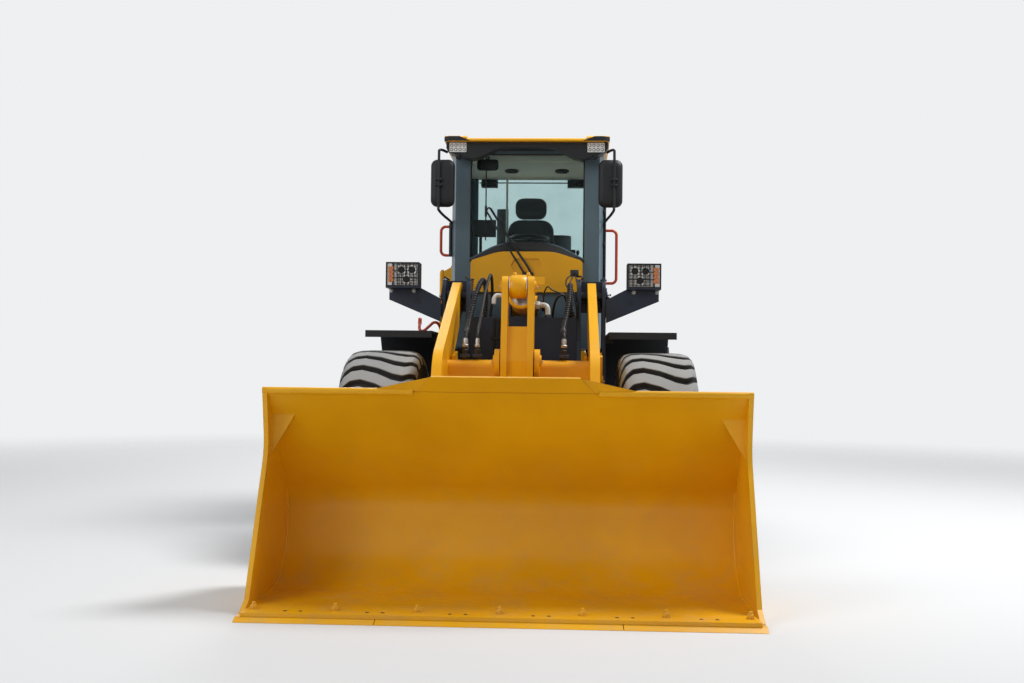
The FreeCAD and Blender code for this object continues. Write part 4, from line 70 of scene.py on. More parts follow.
def add_camera():
    data = bpy.data.cameras.new("front_camera")
    data.lens = camera_lens
    data.sensor_width = 36
    data.clip_end = 200
    camera = bpy.data.objects.new("front_camera", data)
    turn = Matrix.Rotation(math.radians(camera_yaw), 4, "Z")
    turn = turn @ Matrix.Rotation(math.radians(90 + camera_pitch), 4, "X")
    turn = turn @ Matrix.Rotation(math.radians(camera_roll), 4, "Z")
    camera.matrix_world = Matrix.Translation(camera_place) @ turn
    bpy.context.scene.collection.objects.link(camera)
    bpy.context.scene.camera = camera
    return camera


camera = add_camera()
print("camera at", tuple(camera.location), "lens", camera_lens, "mm")

# %% [markdown]
# A finish is written as sums of textures, and nodes are clumsy to write as sums. One small class
# wraps a socket and gives it plus, minus, times and the like, so 1 - mask is a valid line. Colours
# don't go through Math nodes, which would turn them grey: they use Mix and Vector Math instead.


# %% Shader sums
class Link:
    """One socket of a finish, which can take part in sums."""

    def __init__(self, finish, socket):
        self.finish = finish
        self.socket = socket

    def sum(self, operation, first, second=0.0, third=0.0):
        inputs = {0: first, 1: second, 2: third}
        return self.finish.node("ShaderNodeMath", {"operation": operation}, inputs)

    def __add__(self, other):
        return self.sum("ADD", self, other)

    def __sub__(self, other):
        return self.sum("SUBTRACT", self, other)

    def __rsub__(self, other):
        return self.sum("SUBTRACT", other, self)

    def __mul__(self, other):
        return self.sum("MULTIPLY", self, other)

    __radd__ = __add__
    __rmul__ = __mul__

    def band(self, low, high):
        """0 below low, 1 above high, and smooth between."""
        settings = {"interpolation_type": "SMOOTHSTEP"}
        return self.finish.node("ShaderNodeMapRange", settings,
                                {"Value": self, "From Min": low, "From Max": high})


class Finish:
    """A material under construction: its nodes and the shader they feed."""

    def __init__(self, name, **constants):
        self.material = bpy.data.materials.new(name)
        self.material.use_nodes = True
        self.tree = self.material.node_tree
        self.shader = self.tree.nodes["Principled BSDF"]
        self.surface = Link(self, self.shader.outputs[0])
        self.place = self.node("ShaderNodeTexCoord", output="Object")
        for socket, value in constants.items():
            self.shader.inputs[socket.replace("_", " ")].default_value = value

    def node(self, kind, settings=None, inputs=None, output=0):
        """Adds one node: its settings first, then the values or links of its sockets."""
        made = self.tree.nodes.new(kind)
        for key, value in (settings or {}).items():
            if key == "stops":
                for place, colour in value:
                    made.color_ramp.elements.new(place).color = colour
                made.color_ramp.elements.remove(made.color_ramp.elements[0])
                made.color_ramp.elements.remove(made.color_ramp.elements[-1])
            else:
                setattr(made, key, value)
        for key, value in (inputs or {}).items():
            if isinstance(value, Link):
                self.tree.links.new(value.socket, made.inputs[key])
            else:
                made.inputs[key].default_value = value
        return Link(self, made.outputs[output])

    def feed(self, **inputs):
        """Joins links to the main shader's sockets."""
        for key, value in inputs.items():
            self.tree.links.new(value.socket, self.shader.inputs[key.replace("_", " ")])
        return self.material

    def show(self, share, first, second):
        """Ends the material with a mix of two shaders, from first to second as share goes from 0 to 1."""
        mix = self.node("ShaderNodeMixShader", None, {0: share, 1: first, 2: second})
        self.tree.links.new(mix.socket, self.tree.nodes["Material Output"].inputs["Surface"])

    def noise(self, scale, detail=4.0, rough=0.55, stretch=None):
        place = self.place
        if stretch:
            place = self.node("ShaderNodeMapping", None, {"Vector": self.place, "Scale": stretch})
        return self.node("ShaderNodeTexNoise", None,
                         {"Vector": place, "Scale": scale, "Detail": detail, "Roughness": rough})

    def blend(self, factor, low, high):
        """Colour that goes from low to high as factor goes from 0 to 1."""
        inputs = {0: factor}
        for key, colour in ((6, low), (7, high)):
            inputs[key] = colour if isinstance(colour, Link) else (*colour, 1.0)
        return self.node("ShaderNodeMix", {"data_type": "RGBA"}, inputs, output=2)

    def bump(self, height, strength, distance, normal=None):
        inputs = {"Height": height, "Strength": strength, "Distance": distance}
        if normal:
            inputs["Normal"] = normal
        return self.node("ShaderNodeBump", None, inputs)

    def axis(self, name):
        """One coordinate of the surface point, in metres."""
        return self.node("ShaderNodeSeparateXYZ", None, {0: self.place}, output=name)


print("shader helpers ready")

# %% [markdown]
# The studio is plain: a pale floor that fades out before its edge shows, two broad lamps and an
# even sky. Lamps this large give soft shadows, which suit a machine that is judged from all sides.
# The camera, mirrors and glass see a pale sky, while the light that falls on the paint is weaker,
# so the yellow isn't washed out.

# %% Floor, lamps and sky
shown_sky, soft_sky, soft_sky_strength = (0.86, 0.87, 0.88), (0.93, 0.96, 1.0), 0.36
floor_half, floor_colour, fade_start, fade_end = 40.0, (0.70, 0.705, 0.71), 6.5, 17.0


def add_floor():
    mesh = bpy.data.meshes.new("studio_floor")
    corners = [(x * floor_half, y * floor_half, 0) for x, y in ((-1, -1), (1, -1), (1, 1), (-1, 1))]
    mesh.from_pydata(corners, [], [(0, 1, 2, 3)])
    floor = bpy.data.objects.new("studio_floor", mesh)
    bpy.context.scene.collection.objects.link(floor)
    finish = Finish("pale_floor", Roughness=0.9)
    finish.shader.inputs["Base Color"].default_value = (*floor_colour, 1)
    away = finish.node("ShaderNodeVectorMath", {"operation": "LENGTH"}, {0: finish.place}, output="Value")
    clear = finish.node("ShaderNodeBsdfTransparent")
    finish.show(away.band(fade_start, fade_end), finish.surface, clear)
    mesh.materials.append(finish.material)
    return floor


def add_lamp(name, place, aim, size, power):
    data = bpy.data.lights.new(name, "AREA")
    data.shape = "DISK"
    data.size = size
    data.energy = power
    lamp = bpy.data.objects.new(name, data)
    lamp.location = place
    lamp.rotation_euler = (Vector(aim) - Vector(place)).to_track_quat("-Z", "Y").to_euler()
    bpy.context.scene.collection.objects.link(lamp)


def add_sky():
    world = bpy.data.worlds.new("studio_sky")
    world.use_nodes = True
    bpy.context.scene.world = world
    tree = world.node_tree
    tree.nodes.clear()
    path = tree.nodes.new("ShaderNodeLightPath")
    seen = path.outputs["Is Camera Ray"]
    for other in ("Is Glossy Ray", "Is Transmission Ray"):
        add = tree.nodes.new("ShaderNodeMath")
        add.operation = "ADD"
        add.use_clamp = True
        tree.links.new(seen, add.inputs[0])
        tree.links.new(path.outputs[other], add.inputs[1])
        seen = add.outputs[0]
    soft = tree.nodes.new("ShaderNodeBackground")
    soft.inputs["Color"].default_value = (*soft_sky, 1)
    soft.inputs["Strength"].default_value = soft_sky_strength
    shown = tree.nodes.new("ShaderNodeBackground")
    shown.inputs["Color"].default_value = (*shown_sky, 1)
    mix = tree.nodes.new("ShaderNodeMixShader")
    out = tree.nodes.new("ShaderNodeOutputWorld")
    tree.links.new(seen, mix.inputs[0])
    tree.links.new(soft.outputs[0], mix.inputs[1])
    tree.links.new(shown.outputs[0], mix.inputs[2])
    tree.links.new(mix.outputs[0], out.inputs["Surface"])


floor = add_floor()
add_sky()
add_lamp("key_lamp", (5.5, -0.5, 11.0), (0.0, -1.5, 1.0), 4.0, 1250)
add_lamp("fill_lamp", (-8.0, -9.0, 6.5), (0.0, 0.0, 1.2), 6.0, 360)
add_lamp("back_lamp", (-2.0, 11.0, 9.0), (0.0, 1.5, 1.5), 6.0, 620)
bpy.context.scene.view_settings.view_transform = "Standard"
print("studio ready, floor", floor.name)

# %% [markdown]
# Paint on a machine is never one colour. A broad noise gives the slight unevenness of sprayed
# paint, a fine one its orange peel, and dust gathers low down and on ledges. A Bevel node bends
# the shading normal near edges, so that each sheared plate catches light along its edge as real
# plate does, without a single extra face.


# %% Paints
dust_colour, dust_height = (0.33, 0.29, 0.23), 1.3


def painted(name, colour, shade, rough, dust, edge=0.005, coat=0.12):
    finish = Finish(name, Coat_Roughness=0.18, Coat_Weight=coat, Specular_IOR_Level=0.32)
    broad = finish.noise(1.3, 3.0)
    fine = finish.noise(260.0, 2.0)
    grime = finish.noise(5.5, 8.0, 0.65)
    base = finish.blend(broad.band(0.3, 0.7), colour, shade)
    low = 1 - finish.axis("Z").band(0.0, dust_height)
    facing = finish.node("ShaderNodeNewGeometry", output="Normal")
    upward = finish.node("ShaderNodeSeparateXYZ", None, {0: facing}, output="Z")
    dusty = (low * 0.6 + upward.band(0.4, 1.0) * 0.35) * grime.band(0.38, 0.75) * dust
    base = finish.blend(dusty, base, dust_colour)
    soft = finish.node("ShaderNodeBevel", {"samples": 4}, {"Radius": edge})
    normal = finish.bump(fine + broad * 2.0, 0.05, 0.0006, soft)
    return finish.feed(Base_Color=base, Roughness=rough + dusty * 0.4 + grime * 0.08, Normal=normal)


yellow_paint = painted("yellow_paint", (0.86, 0.43, 0.002), (0.76, 0.365, 0.002), 0.33, 0.22)
frame_paint = painted("frame_paint", (0.010, 0.018, 0.040), (0.007, 0.013, 0.031), 0.4, 0.12)
pillar_paint = painted("pillar_paint", (0.088, 0.138, 0.168), (0.074, 0.120, 0.148), 0.4, 0.12)
rail_paint = painted("rail_paint", (0.56, 0.06, 0.014), (0.47, 0.045, 0.01), 0.34, 0.2)
cast_paint = painted("cast_paint", (0.13, 0.13, 0.135), (0.09, 0.09, 0.095), 0.55, 0.6, coat=0.0)
print("paints:",
      [paint.name for paint in (yellow_paint, frame_paint, pillar_paint, rail_paint, cast_paint)])

# %% [markdown]
# Rubber, plastic and bare metal differ mostly in roughness and grain. The tyre's lug tops are
# lighter than its grooves, because the ground polishes them and dust stays on. The lugs carry a
# value for that at each point of their mesh, from 0 at the foot to 1 on top.

# %% Rubber, plastic and metal
def tyre_rubber(name, dusty=0.0):
    """Rubber that is dusty where the mesh's own wear value is high."""
    finish = Finish(name)
    patch = finish.noise(3.5, 6.0, 0.6)
    grain = finish.noise(90.0, 5.0, 0.6)
    groove = finish.blend(patch.band(0.35, 0.7), (0.012, 0.012, 0.013), (0.034, 0.032, 0.029))
    colour = groove
    if dusty:
        wear = finish.node("ShaderNodeAttribute", {"attribute_name": "wear"}, output="Fac")
        top = wear.band(0.72, 0.98) * (patch * 0.5 + dusty)
        colour = finish.blend(top, groove, (0.33, 0.33, 0.32))
    normal = finish.bump(grain + patch * 1.5, 0.35, 0.003)
    return finish.feed(Base_Color=colour, Roughness=0.78 + patch * 0.2, Normal=normal)


def moulded(name, colour, rough, grain_scale=420.0, depth=0.0004):
    finish = Finish(name, Specular_IOR_Level=0.3)
    grain = finish.noise(grain_scale, 3.0)
    cloud = finish.noise(3.0, 4.0)
    lighter = tuple(min(1.0, value * 1.7 + 0.004) for value in colour)
    base = finish.blend(cloud.band(0.4, 0.85) * 0.6, colour, lighter)
    normal = finish.bump(grain, 0.3, depth)
    return finish.feed(Base_Color=base, Roughness=rough + cloud * 0.12, Normal=normal)


def bare_metal(name, colour, rough, streak, metal=1.0):
    finish = Finish(name, Metallic=metal)
    lines = finish.noise(14.0, 6.0, 0.6, streak)
    cloud = finish.noise(4.0, 5.0)
    darker = tuple(value * 0.62 for value in colour)
    base = finish.blend(lines.band(0.35, 0.7) * 0.6 + cloud.band(0.45, 0.8) * 0.3, colour, darker)
    return finish.feed(Base_Color=base, Roughness=rough + lines * 0.16,
                       Normal=finish.bump(lines, 0.12, 0.0008))


rubber = tyre_rubber("tyre_rubber")
groove_rubber = tyre_rubber("groove_rubber")
lug_rubber = tyre_rubber("lug_rubber", 0.62)
black_plastic = moulded("black_plastic", (0.008, 0.009, 0.011), 0.45)
hose_rubber = moulded("hose_rubber", (0.012, 0.012, 0.013), 0.5, 150.0)
# The beige is the trim's own colour, raised brighter as painted light so that the headliner under the roof
# looks lit by daylight.
beige_trim_painted_light = moulded("beige_trim_painted_light", (0.92, 0.88, 0.76), 0.7, 300.0)
wrap_plastic = moulded("wrap_plastic", (0.035, 0.037, 0.042), 0.28, 300.0)
lamp_white = moulded("lamp_white", (0.80, 0.81, 0.80), 0.3, 200.0, 0.0002)
silver_paint = moulded("silver_paint", (0.55, 0.55, 0.53), 0.3, 200.0, 0.0002)
chrome = bare_metal("polished_rod", (0.72, 0.73, 0.75), 0.1, (1.0, 1.0, 1.0))
bolt_zinc = bare_metal("bolt_zinc", (0.42, 0.42, 0.41), 0.34, (1.0, 1.0, 1.0), 0.85)
black_steel = bare_metal("black_steel", (0.035, 0.035, 0.037), 0.4, (1.0, 1.0, 0.3), 0.6)
print("rubber, plastic and metal finishes ready")

# %% [markdown]
# Cab glass is mostly seen through. Real refraction would darken the cab, because light would have
# to find its way in through the panes, so the pane is a tinted clear sheet with a gloss that grows
# towards grazing angles, which is what a flat pane looks like from outside.


# %% Glass, seat cloth and lenses
glass_tint, glass_gloss = (0.88, 0.955, 0.955), (0.05, 0.07, 0.07)
thread_scale, rib_scale = 110.0, 45.0


def ribbed(finish, direction, scale):
    inputs = {"Vector": finish.place, "Scale": scale}
    return finish.node("ShaderNodeTexWave", {"bands_direction": direction}, inputs)


def window_glass():
    finish = Finish("cab_glass_tint", Roughness=0.02)
    finish.shader.inputs["Base Color"].default_value = (*glass_gloss, 1)
    smear = finish.noise(2.2, 4.0)
    gloss = finish.node("ShaderNodeLayerWeight", None, {"Blend": 0.22}, output="Fresnel")
    clear = finish.node("ShaderNodeBsdfTransparent", None, {"Color": (*glass_tint, 1)})
    share = gloss * 0.9 + smear.band(0.4, 0.8) * 0.05 + 0.06
    finish.show(share, clear, finish.surface)
    return finish.material


def woven_cloth():
    finish = Finish("seat_cloth", Sheen_Weight=0.25, Sheen_Roughness=0.5)
    weave = ribbed(finish, "X", thread_scale) * ribbed(finish, "Z", thread_scale)
    cloud = finish.noise(5.0, 3.0)
    colour = finish.blend(weave * 0.5 + cloud * 0.3, (0.016, 0.017, 0.02), (0.055, 0.056, 0.062))
    return finish.feed(Base_Color=colour, Roughness=0.85 + weave * 0.1,
                       Normal=finish.bump(weave, 0.5, 0.0012))


def lamp_lens(name, colour):
    finish = Finish(name, Coat_Weight=0.8, Coat_Roughness=0.05)
    ribs = ribbed(finish, "X", rib_scale)
    darker = tuple(value * 0.6 for value in colour)
    base = finish.blend(ribs, colour, darker)
    return finish.feed(Base_Color=base, Roughness=0.12 + ribs * 0.1, Normal=finish.bump(ribs, 0.3, 0.002))


glass = window_glass()
seat_cloth = woven_cloth()
clear_lens = lamp_lens("clear_lens", (0.82, 0.84, 0.85))
amber_lens = lamp_lens("amber_lens", (0.75, 0.2, 0.01))
red_lens = lamp_lens("red_lens", (0.5, 0.02, 0.012))
print("glass, cloth and lens finishes ready")

# %% [markdown]
# Each CAD node names its slot in the record, so one table gives every node its finish. The roof
# lamps are one slot in the record, but their housings are black, so they are painted again and
# get their bright faces further down.

# %% Finish of every CAD node
finishes = {
    "yellow": yellow_paint, "frame_grey": frame_paint, "cast_grey": cast_paint, "glass": glass,
    "seat_cloth": seat_cloth, "black_plastic": black_plastic, "rail_red": rail_paint,
    "lamp_glass": clear_lens, "black_steel": black_steel, "tyre": rubber,
    "chrome": chrome, "pillar_grey": pillar_paint, "trim_beige": beige_trim_painted_light,
}


def paint(piece, material):
    piece.data.materials.clear()
    piece.data.materials.append(material)


for part in frame["record"]["subparts"]:
    paint(nodes[part["node"]], finishes[part["material_slot"]])
paint(nodes["roof_lamps"], black_plastic)
paint(nodes["tail_lamps"], red_lens)
print("finished", len(nodes), "CAD nodes")

# %% [markdown]
# Nearly every small part is one of four forms: a round turned about a line, a flat plate with its
# edges broken, a tube along a path, or a helix wound on one. A class that gathers such closed
# forms into one mesh keeps each piece below to a few lines, and lets like parts share a mesh.
# Wheels and linkage pins take their places from the joints of the record.


# %% Mesh tools
def across_frame(axis):
    """Two directions square to a line and to each other."""
    axis = Vector(axis).normalized()
    side = Vector((0, 0, 1)) if abs(axis.z) < 0.9 else Vector((1, 0, 0))
    first = side.cross(axis).normalized()
    return first, axis.cross(first).normalized(), axis


def smooth_path(points, steps=8):
    """A curve through the points, without corners."""
    points = [Vector(point) for point in points]
    ends = [points[0] * 2 - points[1]] + points + [points[-1] * 2 - points[-2]]
    path = []
    for a, b, c, d in zip(ends, ends[1:], ends[2:], ends[3:]):
        for i in range(steps):
            t = i / steps
            path.append(0.5 * (2 * b + (c - a) * t + (2 * a - 5 * b + 4 * c - d) * t ** 2
                               + (3 * b - a - 3 * c + d) * t ** 3))
    return path + [points[-1]]


def carried_frames(path):
    """Directions across a path at each of its points, turned as little as the path allows."""
    frames = []
    first = None
    for i, point in enumerate(path):
        along = (path[min(i + 1, len(path) - 1)] - path[max(i - 1, 0)]).normalized()
        if first is None:
            first = across_frame(along)[0]
        first = (first - along * first.dot(along)).normalized()
        frames.append((point, first, along.cross(first)))
    return frames


def rounded_box(width, height, radius, steps=4):
    """Outline of a rectangle with round corners, anticlockwise."""
    outline = []
    for turn, (x, y) in enumerate(((1, 1), (-1, 1), (-1, -1), (1, -1))):
        for i in range(steps + 1):
            angle = math.pi / 2 * (turn + i / steps)
            outline.append((x * (width / 2 - radius) + radius * math.cos(angle),
                            y * (height / 2 - radius) + radius * math.sin(angle)))
    return outline


def inset(outline, amount):
    """The outline moved inwards, each corner along its own bisector."""
    moved = []
    for i, point in enumerate(outline):
        here = Vector(point)
        before = (here - Vector(outline[i - 1])).normalized()
        after = (Vector(outline[(i + 1) % len(outline)]) - here).normalized()
        inward = Vector((-before.y - after.y, before.x + after.x))
        inward = inward.normalized() if inward.length > 1e-6 else Vector((0, 0))
        lean = max(0.4, inward.dot(Vector((-before.y, before.x))))
        moved.append(here + inward * amount / lean)
    return moved


def collar(radius, height, flare=0.003, edge=0.004):
    """Profile of a round whose two rims are broken."""
    return ((radius - flare, 0.0), (radius, edge), (radius, height - edge), (radius - flare, height))


class Shape:
    """Closed forms gathered into one mesh, which becomes one piece of the machine."""

    def __init__(self):
        self.mesh = bmesh.new()

    def skin(self, rings, closed=False):
        """Faces over rings of points, with a cap at each end unless the rings close on themselves."""
        rows = [[self.mesh.verts.new(point) for point in ring] for ring in rings]
        pairs = list(zip(rows, rows[1:])) + ([(rows[-1], rows[0])] if closed else [])
        for row, after in pairs:
            for i in range(len(row)):
                j = (i + 1) % len(row)
                self.mesh.faces.new((row[i], row[j], after[j], after[i]))
        if not closed:
            self.mesh.faces.new(list(reversed(rows[0])))
            self.mesh.faces.new(rows[-1])
        return rows

    def turned(self, place, axis, profile, sides=20, closed=False):
        """Turns a profile of (radius, height) about a line."""
        first, second, axis = across_frame(axis)
        place = Vector(place)
        angles = [2 * math.pi * i / sides for i in range(sides)]
        ways = [first * math.cos(angle) + second * math.sin(angle) for angle in angles]
        self.skin([[place + axis * height + way * radius for way in ways] for radius, height in profile],
                  closed)

    def plate(self, place, axis, outline, thickness, edge=0.002, across=None):
        """A flat plate from place along axis, with its edges broken. Outline is anticlockwise."""
        first, second, axis = across_frame(axis)
        if across:
            first = Vector(across).normalized()
            second = axis.cross(first)
        place = Vector(place)
        narrow = inset(outline, edge)
        levels = ((0.0, narrow), (edge, outline), (thickness - edge, outline), (thickness, narrow))
        self.skin([[place + axis * height + first * x + second * y for x, y in ring]
                   for height, ring in levels])

    def slab(self, place, axis, size, corner, thickness, edge=0.002, across=None):
        """A plate with round corners. Size is its width and height."""
        self.plate(place, axis, rounded_box(*size, corner), thickness, edge, across)

    def tube(self, path, radius, sides=10, ripple=0.0):
        """A tube along a path. Radius may be a function of the share of the way along."""
        rings = []
        last = len(path) - 1
        angles = [2 * math.pi * i / sides for i in range(sides)]
        for i, (point, first, second) in enumerate(carried_frames(path)):
            wide = radius(i / last) if callable(radius) else radius
            wide *= 1 + ripple * math.sin(i * 2.1)
            rings.append([point + (first * math.cos(a) + second * math.sin(a)) * wide for a in angles])
        self.skin(rings)

    def pipe(self, points, radius, sides=8, steps=8, ripple=0.0):
        """A tube along a smooth curve through the points."""
        self.tube(smooth_path(points, steps), radius, sides, ripple)

    def helix(self, path, radius, pitch, wire, sides=6, start=0.0, stop=1.0):
        """A wire wound round a path."""
        frames = carried_frames(path)
        frames = frames[int(len(frames) * start):int(len(frames) * stop)]
        length = 0.0
        wound = []
        for (a, first_a, second_a), (b, first_b, second_b) in zip(frames, frames[1:]):
            run = (b - a).length
            parts = max(2, int(run / pitch * 10))
            for k in range(parts):
                share = k / parts
                angle = 2 * math.pi * (length + run * share) / pitch
                middle = a.lerp(b, share)
                first = first_a.lerp(first_b, share)
                second = second_a.lerp(second_b, share)
                wound.append(middle + (first * math.cos(angle) + second * math.sin(angle)) * radius)
            length += run
        self.tube(wound, wire, sides)

    def bolt(self, place, axis, across=0.03, washer=True):
        """A hexagon head on a washer, with its corners turned down."""
        place = Vector(place)
        axis = Vector(axis).normalized()
        radius = across / math.sqrt(3)
        if washer:
            self.turned(place, axis, ((across * 0.7, -0.001), (across * 0.7, across * 0.12)), 18)
            place = place + axis * across * 0.12
        head = ((1.0, 0.0), (1.0, 0.52), (0.9, 0.6), (0.35, 0.62))
        self.turned(place, axis, [(radius * share, across * height) for share, height in head], 6)

    def bolts(self, places, axis, across):
        for place in places:
            self.bolt(place, axis, across)

    def piece(self, name, material, body=None, smooth=38):
        """Ends the mesh: outward faces, smooth shading up to an angle, a finish and a body to ride on."""
        bmesh.ops.recalc_face_normals(self.mesh, faces=self.mesh.faces)
        mesh = bpy.data.meshes.new(name)
        self.mesh.to_mesh(mesh)
        self.mesh.free()
        mesh.shade_smooth()
        mesh.set_sharp_from_angle(angle=math.radians(smooth))
        made = bpy.data.objects.new(name, mesh)
        bpy.context.scene.collection.objects.link(made)
        paint(made, material)
        if body:
            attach(made, body)
        counts[name] = sum(len(face.vertices) - 2 for face in mesh.polygons)
        return made


counts = {}
both = (1, -1)
sides_of = {1: "left", -1: "right"}
forward, backward, up, down, leftward = (0, -1, 0), (0, 1, 0), (0, 0, 1), (0, 0, -1), (1, 0, 0)
joints = frame["record"]["behaviour"]["joints"]
pins = {joint["name"]: joint["pos_m"] for joint in joints if "pos_m" in joint}
print("mesh tools ready, joints with a place:", len(pins))

# %% [markdown]
# The tyres are the one place where CAD lugs are too plain: real lugs snake across the tread, with a
# hump before the middle and a dip after it, and they bend down over the shoulders. A lug could be
# cut from a disc with booleans, but a skin over rings that follow the tread's own section is
# quicker and gives each lug a broken edge. The dusty wear on top is painted by a value stored at
# each point, because height alone can't tell a lug's top from its foot on the shoulder.

# %% Tyres
wheels = [(end + "_" + sides_of[side], side) for end in ("front", "rear") for side in both]
lug_count, lug_stations, tyre_sectors = 28, 22, 84
lug_foot_half, lug_top_half = 0.375, 0.335
carcass_section = ((0.232, 0.330), (0.250, 0.352), (0.262, 0.40), (0.284, 0.47), (0.296, 0.56),
                   (0.296, 0.64),
                   (0.286, 0.69), (0.266, 0.725), (0.232, 0.748), (0.15, 0.758), (0.05, 0.761))
rib_x, rib_radii, rib_half, rib_height = 0.2925, (0.600, 0.645), 0.005, 0.0045
lug_foot = ((0.0, 0.755), (0.12, 0.753), (0.20, 0.745), (0.245, 0.725), (0.272, 0.69), (0.282, 0.655))
lug_top = ((0.0, 0.800), (0.12, 0.799), (0.20, 0.795), (0.252, 0.782), (0.284, 0.745), (0.296, 0.690))
lug_snake = (-0.62, -0.40, -0.06, 0.26, 0.36, 0.12, -0.26, -0.36, -0.14, 0.10, 0.12)


def between(table, share):
    """A value of an evenly spaced table, smooth between its entries."""
    place = min(max(share, 0.0), 1.0) * (len(table) - 1)
    low = min(int(place), len(table) - 2)
    part = place - low
    part = part * part * (3 - 2 * part)
    if isinstance(table[0], tuple):
        return tuple(a + (b - a) * part for a, b in zip(table[low], table[low + 1]))
    return table[low] + (table[low + 1] - table[low]) * part


def on_wheel(centre, x, radius, angle):
    """A point on a wheel; angle 0 is its top and grows towards the front."""
    return Vector((centre[0] + x, centre[1] - radius * math.sin(angle),
                   centre[2] + radius * math.cos(angle)))


def around(centre, section, sectors):
    """Rings round a wheel's axle, one for each (x, radius) of a section."""
    angles = [2 * math.pi * i / sectors for i in range(sectors)]
    return [[on_wheel(centre, x, radius, angle) for angle in angles] for x, radius in section]


def add_carcass(name, centre, body):
    shape = Shape()
    section = list(carcass_section) + [(-x, r) for x, r in reversed(carcass_section)]
    shape.skin(around(centre, section, tyre_sectors), True)
    for x in (rib_x, -rib_x):
        for radius in rib_radii:
            crest = (x + math.copysign(rib_height, x), radius)
            rib = [(x, radius - rib_half), crest, (x, radius + rib_half), (x * 0.99, radius)]
            shape.skin(around(centre, rib, tyre_sectors), True)
    carcass = shape.piece("carcass_" + name, groove_rubber, body, 50)
    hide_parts("tyre_" + name)


def lug_ring(off_middle, pitch):
    """A lug's section as (x, radius, turn, wear); off_middle is 0 at the tread's middle and 1 at its side."""
    low_x, low_r = between(lug_foot, off_middle)
    top_x, top_r = between(lug_top, off_middle)
    narrow = 0.92 - 0.12 * max(0.0, off_middle - 0.8) / 0.2
    foot, top = pitch * lug_foot_half * narrow, pitch * lug_top_half * narrow
    mid_x, mid_r = low_x + (top_x - low_x) * 0.86, low_r + (top_r - low_r) * 0.86
    half = [(low_x, low_r, -foot, 0.0), (mid_x, mid_r, -top * 1.03, 0.75), (top_x, top_r, -top * 0.94, 1.0)]
    other_half = [(x, r, -turn, value) for x, r, turn, value in reversed(half)]
    return half + [(top_x, top_r + 0.0005, 0.0, 1.0)] + other_half


def add_lugs(name, centre, body):
    shape = Shape()
    wear = []
    pitch = 2 * math.pi / lug_count
    for lug in range(lug_count):
        rings = []
        for step in range(lug_stations + 1):
            across = 2 * step / lug_stations - 1
            sign = math.copysign(1, across)
            angle = pitch * (lug + 0.5 - between(lug_snake, (across + 1) / 2))
            ring = lug_ring(abs(across), pitch)
            wear += [value for *rest, value in ring]
            rings.append([on_wheel(centre, sign * x, r, angle + turn) for x, r, turn, value in ring])
        shape.skin(rings)
    lugs = shape.piece("lugs_" + name, lug_rubber, body, 42)
    dust = lugs.data.attributes.new("wear", "FLOAT", "POINT")
    dust.data.foreach_set("value", wear)


for name, side in wheels:
    add_carcass(name, pins["wheel_" + name + "_spin"], "wheel_" + name)
    add_lugs(name, pins["wheel_" + name + "_spin"], "wheel_" + name)
print("triangles in a tyre:", counts["carcass_front_left"] + counts["lugs_front_left"])

# %% [markdown]
# A rim is pressed steel, and what tells its size is the ring of nuts. They stand on its web, with
# the hub's own bolts in the middle. A valve and a lock ring at the flange finish the side view.

# %% Wheel nuts, hub bolts and lock rings
nut_rings = ((16, 0.101, 0.235, 0.036, True), (8, 0.2045, 0.066, 0.018, False))
valve_x, valve_radius, valve_angle = 0.105, 0.275, 0.4
valve_profile = ((0.007, 0.0), (0.007, 0.03), (0.005, 0.034), (0.005, 0.05))
lock_ring_section = ((0.243, 0.326), (0.2475, 0.334), (0.256, 0.338), (0.262, 0.332), (0.256, 0.322))
for name, side in wheels:
    centre = pins["wheel_" + name + "_spin"]
    shape = Shape()
    for number, x, radius, size, washer in nut_rings:
        for i in range(number):
            spot = on_wheel(centre, x * side, radius, 2 * math.pi * i / number)
            shape.bolt(spot, (side, 0, 0), size, washer)
    shape.turned(on_wheel(centre, valve_x * side, valve_radius, valve_angle), (side, 0, 0.3), valve_profile,
                 10)
    shape.piece("nuts_" + name, black_steel, "wheel_" + name)
    shape = Shape()
    shape.skin(around(centre, [(x * side, r) for x, r in lock_ring_section], 64), True)
    shape.piece("lock_ring_" + name, yellow_paint, "wheel_" + name, 60)
print("nuts on a wheel:", nut_rings[0][0], "triangles:", counts["nuts_front_left"])

# %% [markdown]
# The bucket's own forms are all in the CAD. What it lacks is what holds it together: the nuts of
# the plough bolts along its floor, the plugged holes between them and the weld beads in its
# corners. A weld is a tube with a ripple along it, laid half into the corner.

# %% Bucket: nuts, plugs and welds
bolt_pitch, bolt_count, nut_across = 0.478, 7, 0.036
floor_top, floor_under = 0.047, 0.0235
nut_row_y, plug_row_y, plug_step = -3.872, -3.915, 0.045
inner_back, bucket_back, heel = -2.882, -2.853, 0.428
weld_ripple = 0.12


def bolt_x(number):
    return bolt_pitch * (number - (bolt_count - 1) / 2)


def arc(centre, radius, start, stop, steps=10):
    """Points (y, z) on an arc, angles in degrees."""
    turns = [math.radians(start + (stop - start) * i / steps) for i in range(steps + 1)]
    return [(centre[0] + radius * math.cos(a), centre[1] + radius * math.sin(a)) for a in turns]


shape = Shape()
for i in range(bolt_count):
    shape.bolt((bolt_x(i), nut_row_y, floor_top), up, nut_across)
    shape.turned((bolt_x(i), nut_row_y, floor_top + 0.024), up,
                 ((0.011, 0.0), (0.011, 0.016), (0.009, 0.019)), 12)
shape.piece("edge_nuts", yellow_paint, "bucket")

shape = Shape()
for i in range(bolt_count - 1):
    for step in (-plug_step, plug_step):
        spot = (bolt_x(i + 0.5) + step, plug_row_y, floor_top - 0.002)
        shape.turned(spot, up, ((0.011, 0.0), (0.011, 0.0035), (0.009, 0.0038)), 16)
shape.piece("edge_plugs", frame_paint, "bucket")

